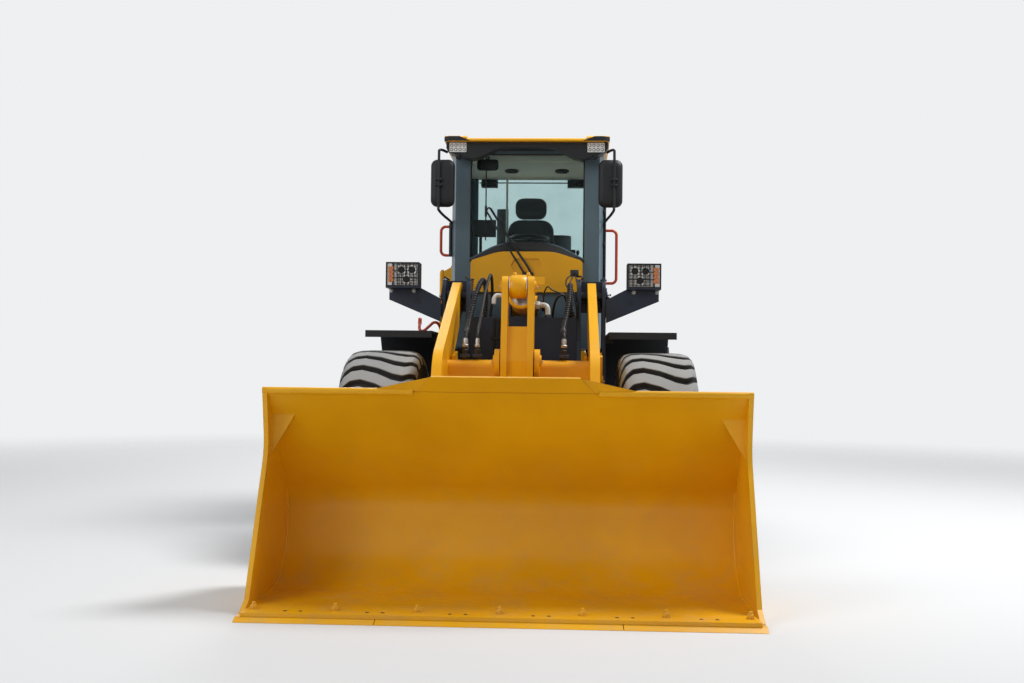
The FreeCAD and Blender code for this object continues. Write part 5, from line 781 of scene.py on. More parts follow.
wall_run = [(-3.70, floor_top)] + arc((inner_back - heel, floor_top + heel), heel, -90, 0)
wall_run += [(inner_back, 0.47), (-2.93, 0.70), (-3.05, 0.83), (-3.20, 1.01), (-3.44, 1.285)]
shape = Shape()
for side in both:
    shape.pipe([(1.480 * side, y, z) for y, z in wall_run], 0.009, 6, 12, weld_ripple)
shape.piece("bucket_side_welds", yellow_paint, "bucket", 80)

shape = Shape()
for side in both:
    for x in (0.5405, 0.6195):
        for low, high in ((0.10, 0.30), (0.50, 0.62)):
            shape.pipe([(x * side, bucket_back, low), (x * side, bucket_back, high)], 0.008, 6, 40,
                       weld_ripple)
    for x in (0.33, 0.72, 1.10):
        shape.pipe([(x * side, -3.50, floor_under), (x * side, -3.20, floor_under)], 0.004, 6, 40,
                   weld_ripple)
shape.piece("bucket_back_welds", yellow_paint, "bucket", 80)
print("bucket: nuts", counts["edge_nuts"], "welds", counts["bucket_side_welds"], "triangles")

# %% [markdown]
# Each big pin of the linkage is kept from turning by a flat keeper that two bolts hold, and takes
# grease through a nipple at its end. One loop makes all three, with sizes that are shares of the
# keeper's reach, and one table says how far out the pins end and what they ride on. The joints
# give the pins' places, except for the three pins that have no joint of their own.

# %% Pin keepers and grease nipples
pins["lift_rod_eye"] = (0.0, -1.370, 1.370)
pins["tilt_rod_eye"] = (0.0, -1.7703, 2.0863)
pins["link_foot"] = (0.0, -1.816, 0.620)
pin_ends = {
    "front_frame": [("boom_lift", 0.7145, 0.058), ("lift_barrel_left_turn", 0.7155, 0.03),
                    ("tilt_barrel_turn", 0.1865, 0.026)],
    "boom": [("crank_turn", 0.1825, 0.03), ("lift_rod_eye", 0.6615, 0.026)],
    "bellcrank": [("tilt_rod_eye", 0.1365, 0.028), ("link_foot", 0.1365, 0.028)],
    "bucket": [("bucket_tilt", 0.6345, 0.03), ("link_turn", 0.119, 0.03)],
}
keeper_thickness = 0.008
nipple_profile = ((0.005, 0.0), (0.005, 0.006), (0.003, 0.008), (0.004, 0.012), (0.002, 0.014))
for body, ends in pin_ends.items():
    shape, steel = Shape(), Shape()
    for pin, x, reach in ends:
        y, z = pins[pin][1:]
        for side in both:
            out = (side, 0, 0)
            shape.slab((x * side, y, z), out, (reach * 1.5, reach * 0.62), reach * 0.2, keeper_thickness)
            for step in (-0.46, 0.46):
                spot = (x * side + keeper_thickness * side, y + reach * step * 0.9, z)
                steel.bolt(spot, out, reach * 0.36)
            steel.turned((x * side, y, z - reach * 0.55), out, nipple_profile, 10)
    shape.piece("keepers_" + body, yellow_paint if body != "front_frame" else frame_paint, body)
    steel.piece("keeper_bolts_" + body, bolt_zinc, body)
print("pin ends dressed:", sum(len(ends) for ends in pin_ends.values()) * 2)

# %% [markdown]
# The block on top of the tilt cylinder feeds it through steel elbows at its sides. They turn with
# the cylinder. Straight pieces joined at a bend are what pipes are, so each is one tube on a
# path with a swept corner, and each has a nut where it leaves the block.

# %% Tilt cylinder: cover bolts and elbow pipes
block_top, block_front, block_middle_z = 2.2255, -1.2305, 2.175
elbows = (
    (0.021, 0.034, (0.120, -1.145, 1.985),
     [(0.085, -1.14, 1.985), (0.15, -1.15, 1.985), (0.195, -1.16, 1.98), (0.214, -1.17, 1.955),
      (0.216, -1.175, 1.905)]),
    (0.018, 0.031, (-0.150, -1.15, 2.055),
     [(-0.085, -1.14, 2.05), (-0.15, -1.15, 2.055), (-0.20, -1.16, 2.06), (-0.222, -1.17, 2.035),
      (-0.225, -1.175, 1.99)]),
)
eye_side = ((0.052, 0.0685), (0.076, 0.0685), (0.087, 0.056), (0.091, 0.02))
neck_profile = ((0.060, 0.0), (0.066, 0.02), (0.064, 0.07), (0.056, 0.085))

shape = Shape()
shape.bolts([(x, y, block_top) for x in (-0.055, 0.055) for y in (-1.212, -1.148)], up, 0.026)
shape.bolts([(x, block_front, block_middle_z) for x in (0.03, -0.03)], forward, 0.022)
shape.piece("block_bolts", yellow_paint, "tilt_barrel")

shape = Shape()
shape.slab((0.142, -1.236, 2.172), forward, (0.092, 0.062), 0.006, 0.012)
shape.slab((0.104, -1.20, 2.172), leftward, (0.07, 0.05), 0.005, 0.016)
shape.piece("block_flange", yellow_paint, "tilt_barrel")

shape = Shape()
for radius, nut_radius, nut_place, points in elbows:
    shape.pipe(points, radius, 16)
    shape.turned(nut_place, leftward, collar(nut_radius, 0.03), 6)
shape.piece("elbow_pipes", silver_paint, "tilt_barrel")

shape = Shape()
eye_profile = [(r, -x) for r, x in eye_side] + list(reversed(eye_side))
shape.turned(pins["tilt_rod_eye"], leftward, eye_profile, 40)
eye_y, eye_z = pins["tilt_rod_eye"][1:]
shape.turned((0, eye_y + 0.075, eye_z - 0.004), (0, 0.9987, -0.0505), neck_profile, 32)
shape.piece("rod_eye_casting", yellow_paint, "tilt_rod", 50)
print("tilt cylinder dressed")

# %% [markdown]
# The hoses leave the frame's deck between the towers, rise in a loop and drop to the three
# fittings on the boom's cross beam. The hoses themselves ride on no body, and only the sleeves at
# their lower ends ride on the boom. Two of them are wrapped in a plastic spiral, which is a second
# tube wound round the first. Every end has a steel sleeve. Left and right in their names are the
# photo's, which are the machine's right and left.

# %% Hoses from the frame to the boom
port_y, deck_top = -0.74, 1.850
fitting_y, fitting_top = -1.595, 1.640
hoses = {
    "tilt_left": (0.0155, True, -0.33, -0.415,
                  [(-0.315, -0.80, 2.06), (-0.33, -0.92, 2.200), (-0.372, -1.07, 2.10),
                   (-0.408, -1.22, 1.90),
                   (-0.415, -1.42, 1.78), (-0.415, -1.56, 1.73)]),
    "lift_left": (0.0125, False, -0.285, -0.322,
                  [(-0.262, -0.80, 2.08), (-0.268, -0.93, 2.245), (-0.30, -1.08, 2.10),
                   (-0.318, -1.24, 1.92),
                   (-0.322, -1.44, 1.80), (-0.322, -1.57, 1.74)]),
    "tilt_right": (0.0155, True, 0.43, 0.351,
                   [(0.40, -0.81, 2.02), (0.396, -0.93, 2.165), (0.388, -1.07, 2.03), (0.365, -1.22, 1.88),
                    (0.345, -1.42, 1.78), (0.349, -1.56, 1.73)]),
}
wrap_lift, wrap_pitch, wrap_wire, wrapped_part = 0.0035, 0.026, 0.0055, (0.05, 0.86)


def add_crimp(name, radius, top):
    """The sleeve over a hose's lower end, on its union nut."""
    shape = Shape()
    sleeve = ((1.05, 0.0), (1.32, 0.004), (1.32, 0.05), (1.12, 0.056), (1.06, 0.062))
    shape.turned(top - Vector((0, 0, 0.004)), up, [(radius * share, z) for share, z in sleeve], 16)
    shape.turned(top - Vector((0, 0, 0.012)), up, collar(radius * 1.72, 0.02, radius * 0.12, 0.002), 6)
    shape.piece("crimp_" + name, bolt_zinc, "boom")


def add_port(name, radius, foot):
    """The port on the deck that a hose leaves."""
    shape = Shape()
    sleeve = ((1.8, 0.0), (1.8, 0.02), (1.32, 0.024), (1.32, 0.07), (1.1, 0.074))
    shape.turned(foot - Vector((0, 0, 0.004)), up, [(radius * share, z) for share, z in sleeve], 16)
    shape.piece("port_" + name, bolt_zinc, "front_frame")


for name, (radius, wrapped, port_x, fitting_x, run) in hoses.items():
    points = [(port_x, port_y, deck_top), *run, (fitting_x, fitting_y, fitting_top)]
    shape = Shape()
    shape.pipe(points, radius, 14, 12)
    hose = shape.piece("hose_" + name, hose_rubber, None, 60)
    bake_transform(hose)
    if wrapped:
        shape = Shape()
        shape.helix(smooth_path(points, 12), radius + wrap_lift, wrap_pitch, wrap_wire, 6, *wrapped_part)
        wrap = shape.piece("wrap_" + name, wrap_plastic, None, 60)
        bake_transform(wrap)
    add_crimp(name, radius, Vector(points[-1]))
    add_port(name, radius, Vector(points[0]))

shape = Shape()
for radius, wrapped, port_x, x, run in hoses.values():
    shape.turned((x, fitting_y, 1.5300), up, ((0.0165, 0.0), (0.0165, 0.104)), 16)
    shape.turned((x, fitting_y, 1.5300), up, ((0.025, 0.0), (0.027, 0.003), (0.027, 0.020), (0.022, 0.024)),
                 6)
    shape.turned((x, fitting_y, 1.5705), up, collar(0.0265, 0.038, 0.002, 0.002), 6)
    shape.slab((x, -1.621, 1.560), forward, (0.078, 0.026), 0.006, 0.012, 0.003)
shape.piece("beam_fittings", black_steel, "boom")
print("hoses:", {name: counts["hose_" + name] for name in hoses})

# %% [markdown]
# Pipes that stay on one body need no bending. These run down the navy wall between the towers,
# over the deck and along a tower's edge. With them come the small valve box and its wires at the
# left tower and the red hose on the right fender. Clips with a bolt hold the lines on the wall.

# %% Frame lines, wires and clips
wall_y, line_y, tower_top = -0.800, -0.812, 2.243
frame_lines = [(0.011, [(x, line_y, 1.885), (x, line_y, 1.60), (x - 0.015, line_y, 1.35),
                        (x - 0.015, line_y, 1.05)])
               for x in (-0.20, -0.24)]
frame_lines += [
    (0.010, [(0.245, -0.70, 1.862), (0.262, -0.80, 2.00), (0.300, -0.85, 2.075), (0.355, -0.84, 2.07),
             (0.395, -0.74, 1.90), (0.40, -0.70, 1.862)]),
    (0.013, [(-0.468, -0.772, 1.86), (-0.468, line_y, 1.70), (-0.468, line_y, 1.40),
             (-0.468, line_y, 1.10)]),
]
clips = ((-0.22, 1.72), (-0.235, 1.25), (-0.468, 1.55))
wires = (
    [(0.405, -0.64, 2.27), (0.37, -0.68, 2.24), (0.36, -0.70, 2.19), (0.385, -0.72, 2.14),
     (0.41, -0.74, 2.09)],
    [(0.425, -0.645, 2.265), (0.40, -0.70, 2.22), (0.405, -0.72, 2.18), (0.43, -0.74, 2.10),
     (0.45, -0.75, 1.98), (0.455, -0.76, 1.86)],
    [(0.44, -0.645, 2.265), (0.455, -0.70, 2.20), (0.465, -0.745, 2.05), (0.465, -0.76, 1.86)],
    [(0.20, -0.66, 1.86), (0.17, -0.70, 2.06), (0.20, -0.76, 2.16), (0.25, -0.79, 2.13),
     (0.33, -0.80, 2.10),
     (0.405, -0.74, 2.09)],
)
red_hose = [(-0.889, -0.70, 1.845), (-0.887, -0.735, 1.80), (-0.868, -0.75, 1.776), (-0.84, -0.75, 1.785),
            (-0.80, -0.75, 1.82), (-0.764, -0.75, 1.85), (-0.73, -0.74, 1.845), (-0.712, -0.71, 1.81),
            (-0.709, -0.66, 1.775)]

shape = Shape()
for radius, points in frame_lines:
    shape.pipe(points, radius, 10)
shape.piece("frame_lines", hose_rubber, "front_frame", 60)

shape = Shape()
for x, z in clips:
    shape.slab((x, wall_y + 0.001, z), forward, (0.10, 0.03), 0.008, 0.024, 0.003)
shape.piece("line_clips", black_plastic, "front_frame")

shape = Shape()
shape.bolts([(x, wall_y - 0.023, z) for x, z in clips], forward, 0.016)
for side in both:
    shape.bolts([(x * side, y, tower_top) for y in (-0.62, -0.47) for x in (0.685, 0.5025)], up, 0.02)
shape.piece("frame_bolts", black_steel, "front_frame")

shape = Shape()
shape.slab((0.432, -0.60, 2.29), forward, (0.072, 0.056), 0.006, 0.05, 0.004)
shape.slab((0.47, -0.612, 2.262), forward, (0.05, 0.016), 0.003, 0.02)
for points in wires:
    shape.pipe(points, 0.006)
shape.piece("valve_box", black_plastic, "front_frame", 50)

shape = Shape()
shape.pipe(red_hose, 0.0125, 12)
shape.turned((-0.889, -0.698, 1.838), (0, 0.2, 1), ((0.016, 0.0), (0.016, 0.05), (0.012, 0.054)), 12)
shape.piece("red_hose", rail_paint, "front_frame", 60)
print("frame lines:", counts["frame_lines"], "triangles")

# %% [markdown]
# A work lamp is a plate of small bowls, each with a dark rim and a bright bulb. The roof lamps
# have two rows of four. The road lamps sit behind the CAD guard and have three bigger bowls, and
# the amber indicator at their outer side is ribbed.

# %% Lamps
led_pitch, led_radius = 0.038, 0.0138
led_rim_shares = ((1.0, 0.0), (0.97, 0.004), (0.74, 0.004), (0.70, 0.0))
led_rim = [(led_radius * share, depth) for share, depth in led_rim_shares]
led_bulb = [(led_radius * share, depth) for share, depth in ((0.42, 0.0), (0.38, 0.003), (0.2, 0.0042))]
roof_lamp_faces = [((0.616 * side, -0.3045, 3.438), -1) for side in both]
roof_lamp_faces += [((0.448 * side, 1.4925, 3.405), 1) for side in both]
road_lamp_x, road_lamp_y, road_lamp_z = 0.975, -0.9395, 2.247
bowls = ((-0.044, 0.036), (0.044, 0.036), (0.0, -0.044))
bowl_rim = ((0.041, 0.0), (0.041, 0.003), (0.033, 0.003), (0.029, 0.0))
indicator_x, indicator_y, indicator_low, indicator_pitch = 1.107, -0.9392, 2.196, 0.034
guard_wire, guard_count = 0.0022, 7
bracket_y = -0.775


def add_led_row(name, faces, body):
    """faces holds the middle of each lamp's front and the direction that it looks in."""
    plates, rims, bulbs = Shape(), Shape(), Shape()
    for (x, y, z), way in faces:
        out = Vector((0, way, 0))
        plates.slab((x, y, z), out, (0.152, 0.084), 0.006, 0.003, 0.001)
        for row in (-0.5, 0.5):
            for column in (-1.5, -0.5, 0.5, 1.5):
                spot = Vector((x + column * led_pitch * 0.98, y + way * 0.0028, z + row * led_pitch * 1.02))
                rims.turned(spot, out, led_rim, 18, True)
                bulbs.turned(spot, out, led_bulb, 12)
    plates.piece(name + "_faces", lamp_white, body)
    rims.piece(name + "_rims", black_plastic, body)
    bulbs.piece(name + "_bulbs", chrome, body)


def add_guard(guard, side):
    """Upright wires in front of a road lamp, and level ones behind them."""
    for i in range(guard_count):
        x, z = (0.890 + i * 0.0285) * side, 2.167 + i * 0.0267
        guard.tube([Vector((x, -0.947, 2.160)), Vector((x, -0.947, 2.334))], guard_wire, 6)
        guard.tube([Vector((0.886 * side, -0.9455, z)), Vector((1.064 * side, -0.9455, z))], guard_wire, 6)


add_led_row("roof_lamp", roof_lamp_faces, "rear_frame")

rims, dark, amber, guard = Shape(), Shape(), Shape(), Shape()
for side in both:
    for dx, dz in bowls:
        spot = ((road_lamp_x + dx) * side, road_lamp_y, road_lamp_z + dz)
        rims.turned(spot, forward, bowl_rim, 24, True)
        dark.turned(spot, forward, ((0.028, 0.0), (0.026, 0.002), (0.010, 0.0025)), 20)
    for i in range(4):
        for step in (-0.0115, 0.0115):
            spot = ((indicator_x + step) * side, indicator_y, indicator_low + i * indicator_pitch)
            amber.slab(spot, forward, (0.021, 0.031), 0.005, 0.007, 0.003)
    add_guard(guard, side)
rims.piece("road_lamp_rims", lamp_white, "front_frame")
dark.piece("road_lamp_bowls", black_plastic, "front_frame")
amber.piece("indicators", amber_lens, "front_frame")
guard.piece("lamp_guard_wires", black_plastic, "front_frame")

shape, hole_shade = Shape(), Shape()
for side in both:
    shape.bolts([(x * side, bracket_y - 0.0002, 2.118) for x in (0.933, 1.128)], forward, 0.024)
    # Dark discs on each bracket are painted shade: they stand in for the dark seen through its holes.
    for row in range(4):
        for column in range(4 - row % 2):
            x = 0.875 + (column + row % 2 / 2) * 0.017
            spot = (x * side, bracket_y + 0.0002, 2.012 + row * 0.015)
            hole_shade.turned(spot, forward, ((0.005, 0.0), (0.005, 0.0012), (0.004, 0.0014)), 10)
shape.piece("bracket_bolts", bolt_zinc, "front_frame")
hole_shade.piece("bracket_hole_shade", hose_rubber, "front_frame")
print("lamps:", counts["roof_lamp_rims"] + counts["road_lamp_rims"], "triangles in their rims")

# %% [markdown]
# Rubber holds the windscreen, and its lower run is the widest: a black band that arches over the
# cowl. It follows the pane's edge, which a short table gives. The wiper stands on the cowl and has
# two thin arms that cross the corner of the glass to a long upright blade.

# %% Windscreen seal and wiper
screen_edge = ((0.0, 2.622), (0.10, 2.619), (0.20, 2.605), (0.30, 2.572), (0.40, 2.524), (0.48, 2.483),
               (0.524, 2.462))
cowl_edge = ((0.0, 2.520), (0.10, 2.519), (0.20, 2.510), (0.30, 2.487), (0.40, 2.462), (0.48, 2.442),
             (0.524, 2.434))
seal_side = ((0.519, 2.47), (0.519, 3.36), (0.505, 3.41), (0.455, 3.427))
band_y, band_middle_z, seal_y, seal_radius = -0.052, 2.5, -0.034, 0.010
wiper_foot_y, wiper_joint_y = -0.128, -0.058


def both_ways(edge):
    """An edge that is given from the middle outwards, run from one side to the other."""
    return [(-x, z) for x, z in reversed(edge)] + list(edge[1:])


shape = Shape()
outline = both_ways(cowl_edge) + both_ways(screen_edge)[::-1]
outline = [(x, z - band_middle_z) for x, z in outline]
shape.plate((0, band_y, band_middle_z), forward, outline, 0.008, 0.002, leftward)
for side in both:
    shape.pipe([(x * side, seal_y, z) for x, z in seal_side], seal_radius)
top_x, top_z = seal_side[-1]
shape.pipe([(-top_x, seal_y, top_z), (top_x, seal_y, top_z)], seal_radius, 8, 12)
shape.piece("windscreen_seal", hose_rubber, "rear_frame", 50)

shape = Shape()
arm_low, arm_high = Vector((0.045, wiper_foot_y, 2.325)), Vector((-0.335, wiper_joint_y, 2.925))
second_low, second_high = Vector((-0.018, wiper_foot_y, 2.325)), Vector((-0.374, wiper_joint_y, 2.905))
shape.pipe([arm_low, (0.005, -0.130, 2.40), (-0.11, -0.105, 2.57), arm_high], 0.0105)
shape.pipe([second_low, (-0.058, -0.130, 2.39), (-0.165, -0.105, 2.56), second_high], 0.0085)
shape.pipe([arm_high, (-0.352, -0.056, 2.932), second_high], 0.0075, 8, 6)
shape.slab((-0.378, -0.040, 3.035), forward, (0.011, 0.80), 0.005, 0.016, 0.003, leftward)
shape.slab((-0.377, -0.050, 2.90), forward, (0.022, 0.10), 0.006, 0.014, 0.003, leftward)
for spot in (arm_low, second_low):
    cap = ((0.020, 0.0), (0.020, 0.020), (0.015, 0.028), (0.008, 0.031))
    shape.turned(spot + Vector((0, 0.022, 0)), forward, cap, 18)
shape.piece("wiper", black_plastic, "rear_frame", 50)
print("wiper:", counts["wiper"], "triangles")

# %% [markdown]
# A mirror head is a shell with a crowned back, softer than the block in the CAD, so it stands in for
# that node, tubes included. Rings that swell and close give the crown, and the glass is a separate
# flat plate on the side that faces the driver.

# %% Mirrors
head_x, head_y, head_z, head_width, head_height = 0.746, -0.332, 3.111, 0.212, 0.422
head_levels = ((-0.040, 0.60), (-0.036, 0.80), (-0.024, 0.93), (-0.006, 1.0), (0.018, 1.0), (0.030, 0.97),
               (0.034, 0.93))
tube_x, tube_front, tube_radius = 0.776, -0.390, 0.012
mirror_tube = [(0.719, -0.255, 3.405), (0.752, -0.330, 3.409), (0.772, -0.383, 3.398),
               (tube_x, tube_front, 3.36),
               (tube_x, tube_front, 3.10), (tube_x, tube_front, 2.90), (0.774, -0.384, 2.866),
               (0.752, -0.25, 2.842),
               (0.722, -0.07, 2.824), (0.714, 0.05, 2.822), (0.714, 0.148, 2.822)]
shape, face = Shape(), Shape()
for side in both:
    rings = []
    for depth, share in head_levels:
        outline = rounded_box(head_width * share, head_height * (0.12 + 0.88 * share), 0.058 * share, 6)
        rings.append([Vector((head_x * side + x, head_y + depth, head_z + z)) for x, z in outline])
    shape.skin(rings)
    glass_place = (head_x * side, head_y + 0.033, head_z)
    face.plate(glass_place, backward, rounded_box(0.178, 0.386, 0.045, 6), 0.003, 0.001, leftward)
    shape.pipe([(x * side, y, z) for x, y, z in mirror_tube], tube_radius, 12, 6)
    for z in (3.085, 3.135):
        shape.slab((tube_x * side, -0.370, z), forward, (0.060, 0.022), 0.008, 0.036, 0.003)
        shape.bolts([(tube_x * side + step, -0.405, z) for step in (-0.021, 0.021)], forward, 0.010)
mirrors = shape.piece("mirror_heads", black_plastic, "rear_frame", 45)
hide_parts("mirrors")
face.piece("mirror_glass", chrome, "rear_frame")
print("mirrors:", counts["mirror_heads"], "triangles")

# %% [markdown]
# Beside each grab rail a black post runs down the cab's corner. The door and its frame get their
# rubber, a handle and a lock, and small mounts tie each roof lamp to the pillar under it.

# %% Posts, door fittings and lamp mounts
post_x, post_y = 0.712, 0.10
posts = ((-1, 0.017, (2.50, 2.81), (2.53, 2.78)), (1, 0.012, (2.26, 2.96), (2.30, 2.62, 2.92)))
cap_front, cap_low, cap_rise, cap_length, cap_thickness = -0.3595, 3.4885, 0.0405, 0.0615, 0.005
cap_corner_x, cap_low_x, cap_high_x = 0.690, 0.500, 0.600
cap_slant = Vector((0.045, 0.042, 0)).normalized()
seal_x, door_front, door_rear, door_low, door_high = 0.683, 0.24, 1.00, 1.90, 3.372

shape = Shape()
for side, radius, (low, high), heights in posts:
    shape.pipe([(post_x * side, post_y, low), (post_x * side, post_y, high)], radius, 12, 6)
for side, radius, ends, heights in posts:
    for z in heights:
        shape.slab((0.694 * side, post_y, z), (side, 0, 0), (0.05, 0.03), 0.006, 0.018, 0.003)
    shape.slab((0.616 * side, -0.275, 3.388), down, (0.075, 0.04), 0.006, 0.05, 0.004)
shape.piece("cab_posts", black_plastic, "rear_frame", 50)


def turned_over(outline, side):
    """The outline on its side of the machine, anticlockwise still."""
    return outline if side > 0 else [(-x, z) for x, z in reversed(outline)]


shape = Shape()
for side in both:
    outline = [(cap_low_x, 0), (cap_corner_x, 0), (cap_corner_x, cap_rise), (cap_high_x, cap_rise)]
    shape.plate((0, cap_front, cap_low), forward, turned_over(outline, side), cap_thickness, 0.0015,
                leftward)
    outline = turned_over([(0, 0), (cap_length, 0), (cap_length, cap_rise), (0, cap_rise)], side)
    out = (cap_slant.y * side, -cap_slant.x, 0)
    along = Vector((cap_slant.x, cap_slant.y * side, 0))
    shape.plate((cap_corner_x * side, cap_front, cap_low), out, outline, cap_thickness, 0.0015, along)
shape.slab((0, -0.103, 3.4548), down, (1.30, 0.10), 0.01, 0.003, 0.001, leftward)
shape.piece("roof_ends", black_plastic, "rear_frame")

shape = Shape()
shape.slab((0.735, 0.245, 2.16), leftward, (0.15, 0.06), 0.02, 0.008, 0.003, backward)
shape.pipe([(0.742, 0.30, 2.16), (0.768, 0.29, 2.16), (0.772, 0.25, 2.16), (0.772, 0.21, 2.16)], 0.009, 10,
           6)
shape.turned((0.743, 0.31, 2.12), leftward, ((0.012, 0.0), (0.012, 0.004), (0.009, 0.006)), 16)
door_edge = ((door_front, door_high), (door_front, door_low), (door_rear, door_low), (door_rear, door_high))
shape.pipe([(seal_x, y, z) for y, z in door_edge], 0.007, 6, 12)
shape.piece("door_fittings", black_plastic, "cab_door", 50)
print("cab posts:", counts["cab_posts"], "triangles")

# %% [markdown]
# Through the windscreen one sees a pale headliner with two dark vents, a mirror, a pole behind the
# seat and the bars of the rear window. The instruments and the levers give the dark mass below.

# %% Inside the cab
liner_z, vent_y, vent_half_x, vent_half_y, vent_corners = 3.432, 0.68, 0.092, 0.070, 28
mirror_spot, panel_middle, pole_x, pole_y = (-0.375, 0.085, 3.350), (0.04, 0.71), -0.256, 1.30
lever_y, lever_foot, lever_top = 0.62, 2.46, 2.53
knob = ((0.008, 0.0), (0.016, 0.012), (0.018, 0.03), (0.012, 0.044), (0.004, 0.048))

shape = Shape()
turns = [2 * math.pi * i / vent_corners for i in range(vent_corners)]
oval = [(vent_half_x * math.cos(turn), vent_half_y * math.sin(turn)) for turn in turns]
for x in (-0.18, 0.31):
    shape.plate((x, vent_y, liner_z - 0.026), down, oval, 0.020, 0.006)
    for step in (-0.027, -0.009, 0.009, 0.027):
        shape.slab((x, vent_y + step, liner_z - 0.045), down, (0.006, 0.10), 0.002, 0.008, 0.001)
rings = []
for depth, share in ((-0.018, 0.7), (-0.012, 0.94), (0.0, 1.0), (0.012, 0.97)):
    outline = rounded_box(0.20 * share, 0.105 * share, 0.03 * share, 5)
    rings.append([Vector(mirror_spot) + Vector((x, depth, z)) for x, z in outline])
shape.skin(rings)
shape.pipe([(-0.375, 0.09, 3.36), (-0.37, 0.10, 3.41), (-0.36, 0.11, 3.436)], 0.008, 8, 6)
shape.piece("liner_fittings", black_plastic, "rear_frame", 50)

shape = Shape()
shape.pipe([(pole_x, pole_y, 1.75), (pole_x, pole_y, 2.6), (pole_x, pole_y, 3.44)], 0.011, 12)
rings = []
for share, z in ((1.0, 3.436), (1.0, 3.424), (0.94, 3.408), (0.86, 3.404)):
    outline = rounded_box(1.18 * share, 0.76 * share, 0.20 * share, 6)
    rings.append([Vector((panel_middle[0] + x, panel_middle[1] + y, z)) for x, y in outline])
shape.skin(rings)
# The headliner takes the beige that is brightened as painted light.
shape.piece("liner_panel", beige_trim_painted_light, "rear_frame", 50)

shape = Shape()
for x in (-0.52, 0.465):
    shape.slab((x, 1.36, 3.378), forward, (0.022, 0.045), 0.008, 0.02, 0.004, leftward)
shape.slab((0, 1.372, 3.392), forward, (1.10, 0.012), 0.004, 0.010, 0.003, leftward)
for x in (0.40, 0.47, 0.54):
    stick = [(x, lever_y, lever_foot), (x, lever_y - 0.01, lever_top),
             (x, lever_y - 0.02, lever_top + 0.05)]
    shape.pipe(stick, 0.007, 8, 5)
    shape.turned((x, lever_y - 0.02, lever_top + 0.04), (0, -0.2, 1), knob, 14)
wheel_hub = ((0.045, -0.02), (0.045, 0.0), (0.03, 0.012), (0.012, 0.014))
shape.turned((0.0, 0.452, 2.705), (0, -0.342, 0.94), wheel_hub, 24)
shape.piece("cab_fittings", black_plastic, "rear_frame", 50)
print("cab inside:", counts["cab_fittings"] + counts["liner_fittings"], "triangles")

# %% [markdown]
# The seat is soft: cushion, back and head rest are each a closed crowned form, full in the middle and
# drawn in at the edges. Rings of a rounded outline that swell from the front to the middle and close
# behind give that form, and the bolsters at the sides are tubes that are fuller in their middle.

# %% Seat
pillow_front = ((0.50, 0.5), (0.70, 0.485), (0.86, 0.43), (0.955, 0.33), (0.99, 0.18))
pillow_behind = tuple((share, -level) for share, level in reversed(pillow_front))
pillow_levels = pillow_front + ((1.0, 0.0),) + pillow_behind
cushions = {
    "cushion": ((0, 0.82, 2.305), (1, 0, 0), (0, 1, 0), 0.452, 0.51, 0.125, 0.11),
    "back": ((0, 1.052, 2.665), (1, 0, 0), (0, 0.08, 1), 0.462, 0.60, 0.115, 0.12),
    "head": ((0, 1.058, 3.078), (1, 0, 0), (0, 0.05, 1), 0.314, 0.212, 0.095, 0.075),
}
bolster_runs = (((0.202, 0.60, 2.345), (0.212, 0.78, 2.352), (0.212, 0.95, 2.352)),
                ((0.200, 1.005, 2.42), (0.212, 0.992, 2.60), (0.205, 1.0, 2.84)))
base_y, base_levels = 0.825, ((1.7105, 0.33), (1.74, 0.33), (1.76, 0.27), (2.15, 0.27), (2.18, 0.40),
                              (2.235, 0.41))


def pillow(shape, centre, across, along, width, height, depth, corner, crown=0.35):
    """A closed crowned form with its face square to across and along."""
    across, along = Vector(across).normalized(), Vector(along).normalized()
    out = across.cross(along)
    rings = []
    for share, level in pillow_levels:
        drawn_in = (1 - share) * depth * 1.4
        outline = rounded_box(width - drawn_in, height - drawn_in, corner * (0.55 + 0.45 * share), 6)
        ring = []
        for x, z in outline:
            bulge = 1 - crown * max(abs(x) / width, abs(z) / height) ** 2
            ring.append(Vector(centre) + across * x + along * z + out * depth * level * bulge)
        rings.append(ring)
    shape.skin(rings)


def bolster_radius(share):
    return 0.022 + 0.014 * math.sin(math.pi * share)


soft = {}
for name, sizes_of in cushions.items():
    shape = Shape()
    pillow(shape, *sizes_of)
    soft[name] = shape.piece("seat_" + name, seat_cloth, "rear_frame", 75)
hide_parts("seat")

shape = Shape()
for side in both:
    for run in bolster_runs:
        shape.pipe([(x * side, y, z) for x, y, z in run], bolster_radius, 12)
soft["bolsters"] = shape.piece("seat_bolsters", seat_cloth, "rear_frame", 75)

shape = Shape()
rings = []
for z, width in base_levels:
    rings.append([Vector((x, base_y + y, z)) for x, y in rounded_box(width, width + 0.03, 0.04)])
shape.skin(rings)
for x in (-0.06, 0.06):
    shape.pipe([(x, 1.06, 2.90), (x, 1.062, 3.02)], 0.008, 10, 5)
for x in (0.245, -0.295):
    shape.slab((x, 0.95, 2.50), leftward, (0.34, 0.055), 0.026, 0.05, 0.012, backward)
shape.slab((0, 1.118, 2.655), backward, (0.40, 0.54), 0.09, 0.012, 0.004, leftward)
shape.slab((0, 0.83, 2.233), up, (0.43, 0.46), 0.07, 0.018, 0.005, leftward)
shape.piece("seat_frame", black_plastic, "rear_frame", 45)
print("seat pieces:", list(soft))

# %% [markdown]
# The covers are then blown up as cloth. Sewn lines and the underside are held, so the panels between
# them swell and the seams stay behind as channels. The cushion and the back have their seams across
# at two places and a pair along their sides, the head rest one seam across, and the part of each
# cover that is out of sight doesn't move.

# %% Seat covers as cloth
even_edge, cover_pressure, cover_frames, most_swell = 0.006, 4.0, 20, 0.022
seam_half = 0.005
cushion_side, cushion_seams, cushion_under = 0.135, (0.72, 0.88), 2.29
back_side, back_seams, back_behind = 0.13, (2.60, 2.76), 1.06
head_seam, head_behind = 3.045, 1.065
past_seam = 0.005


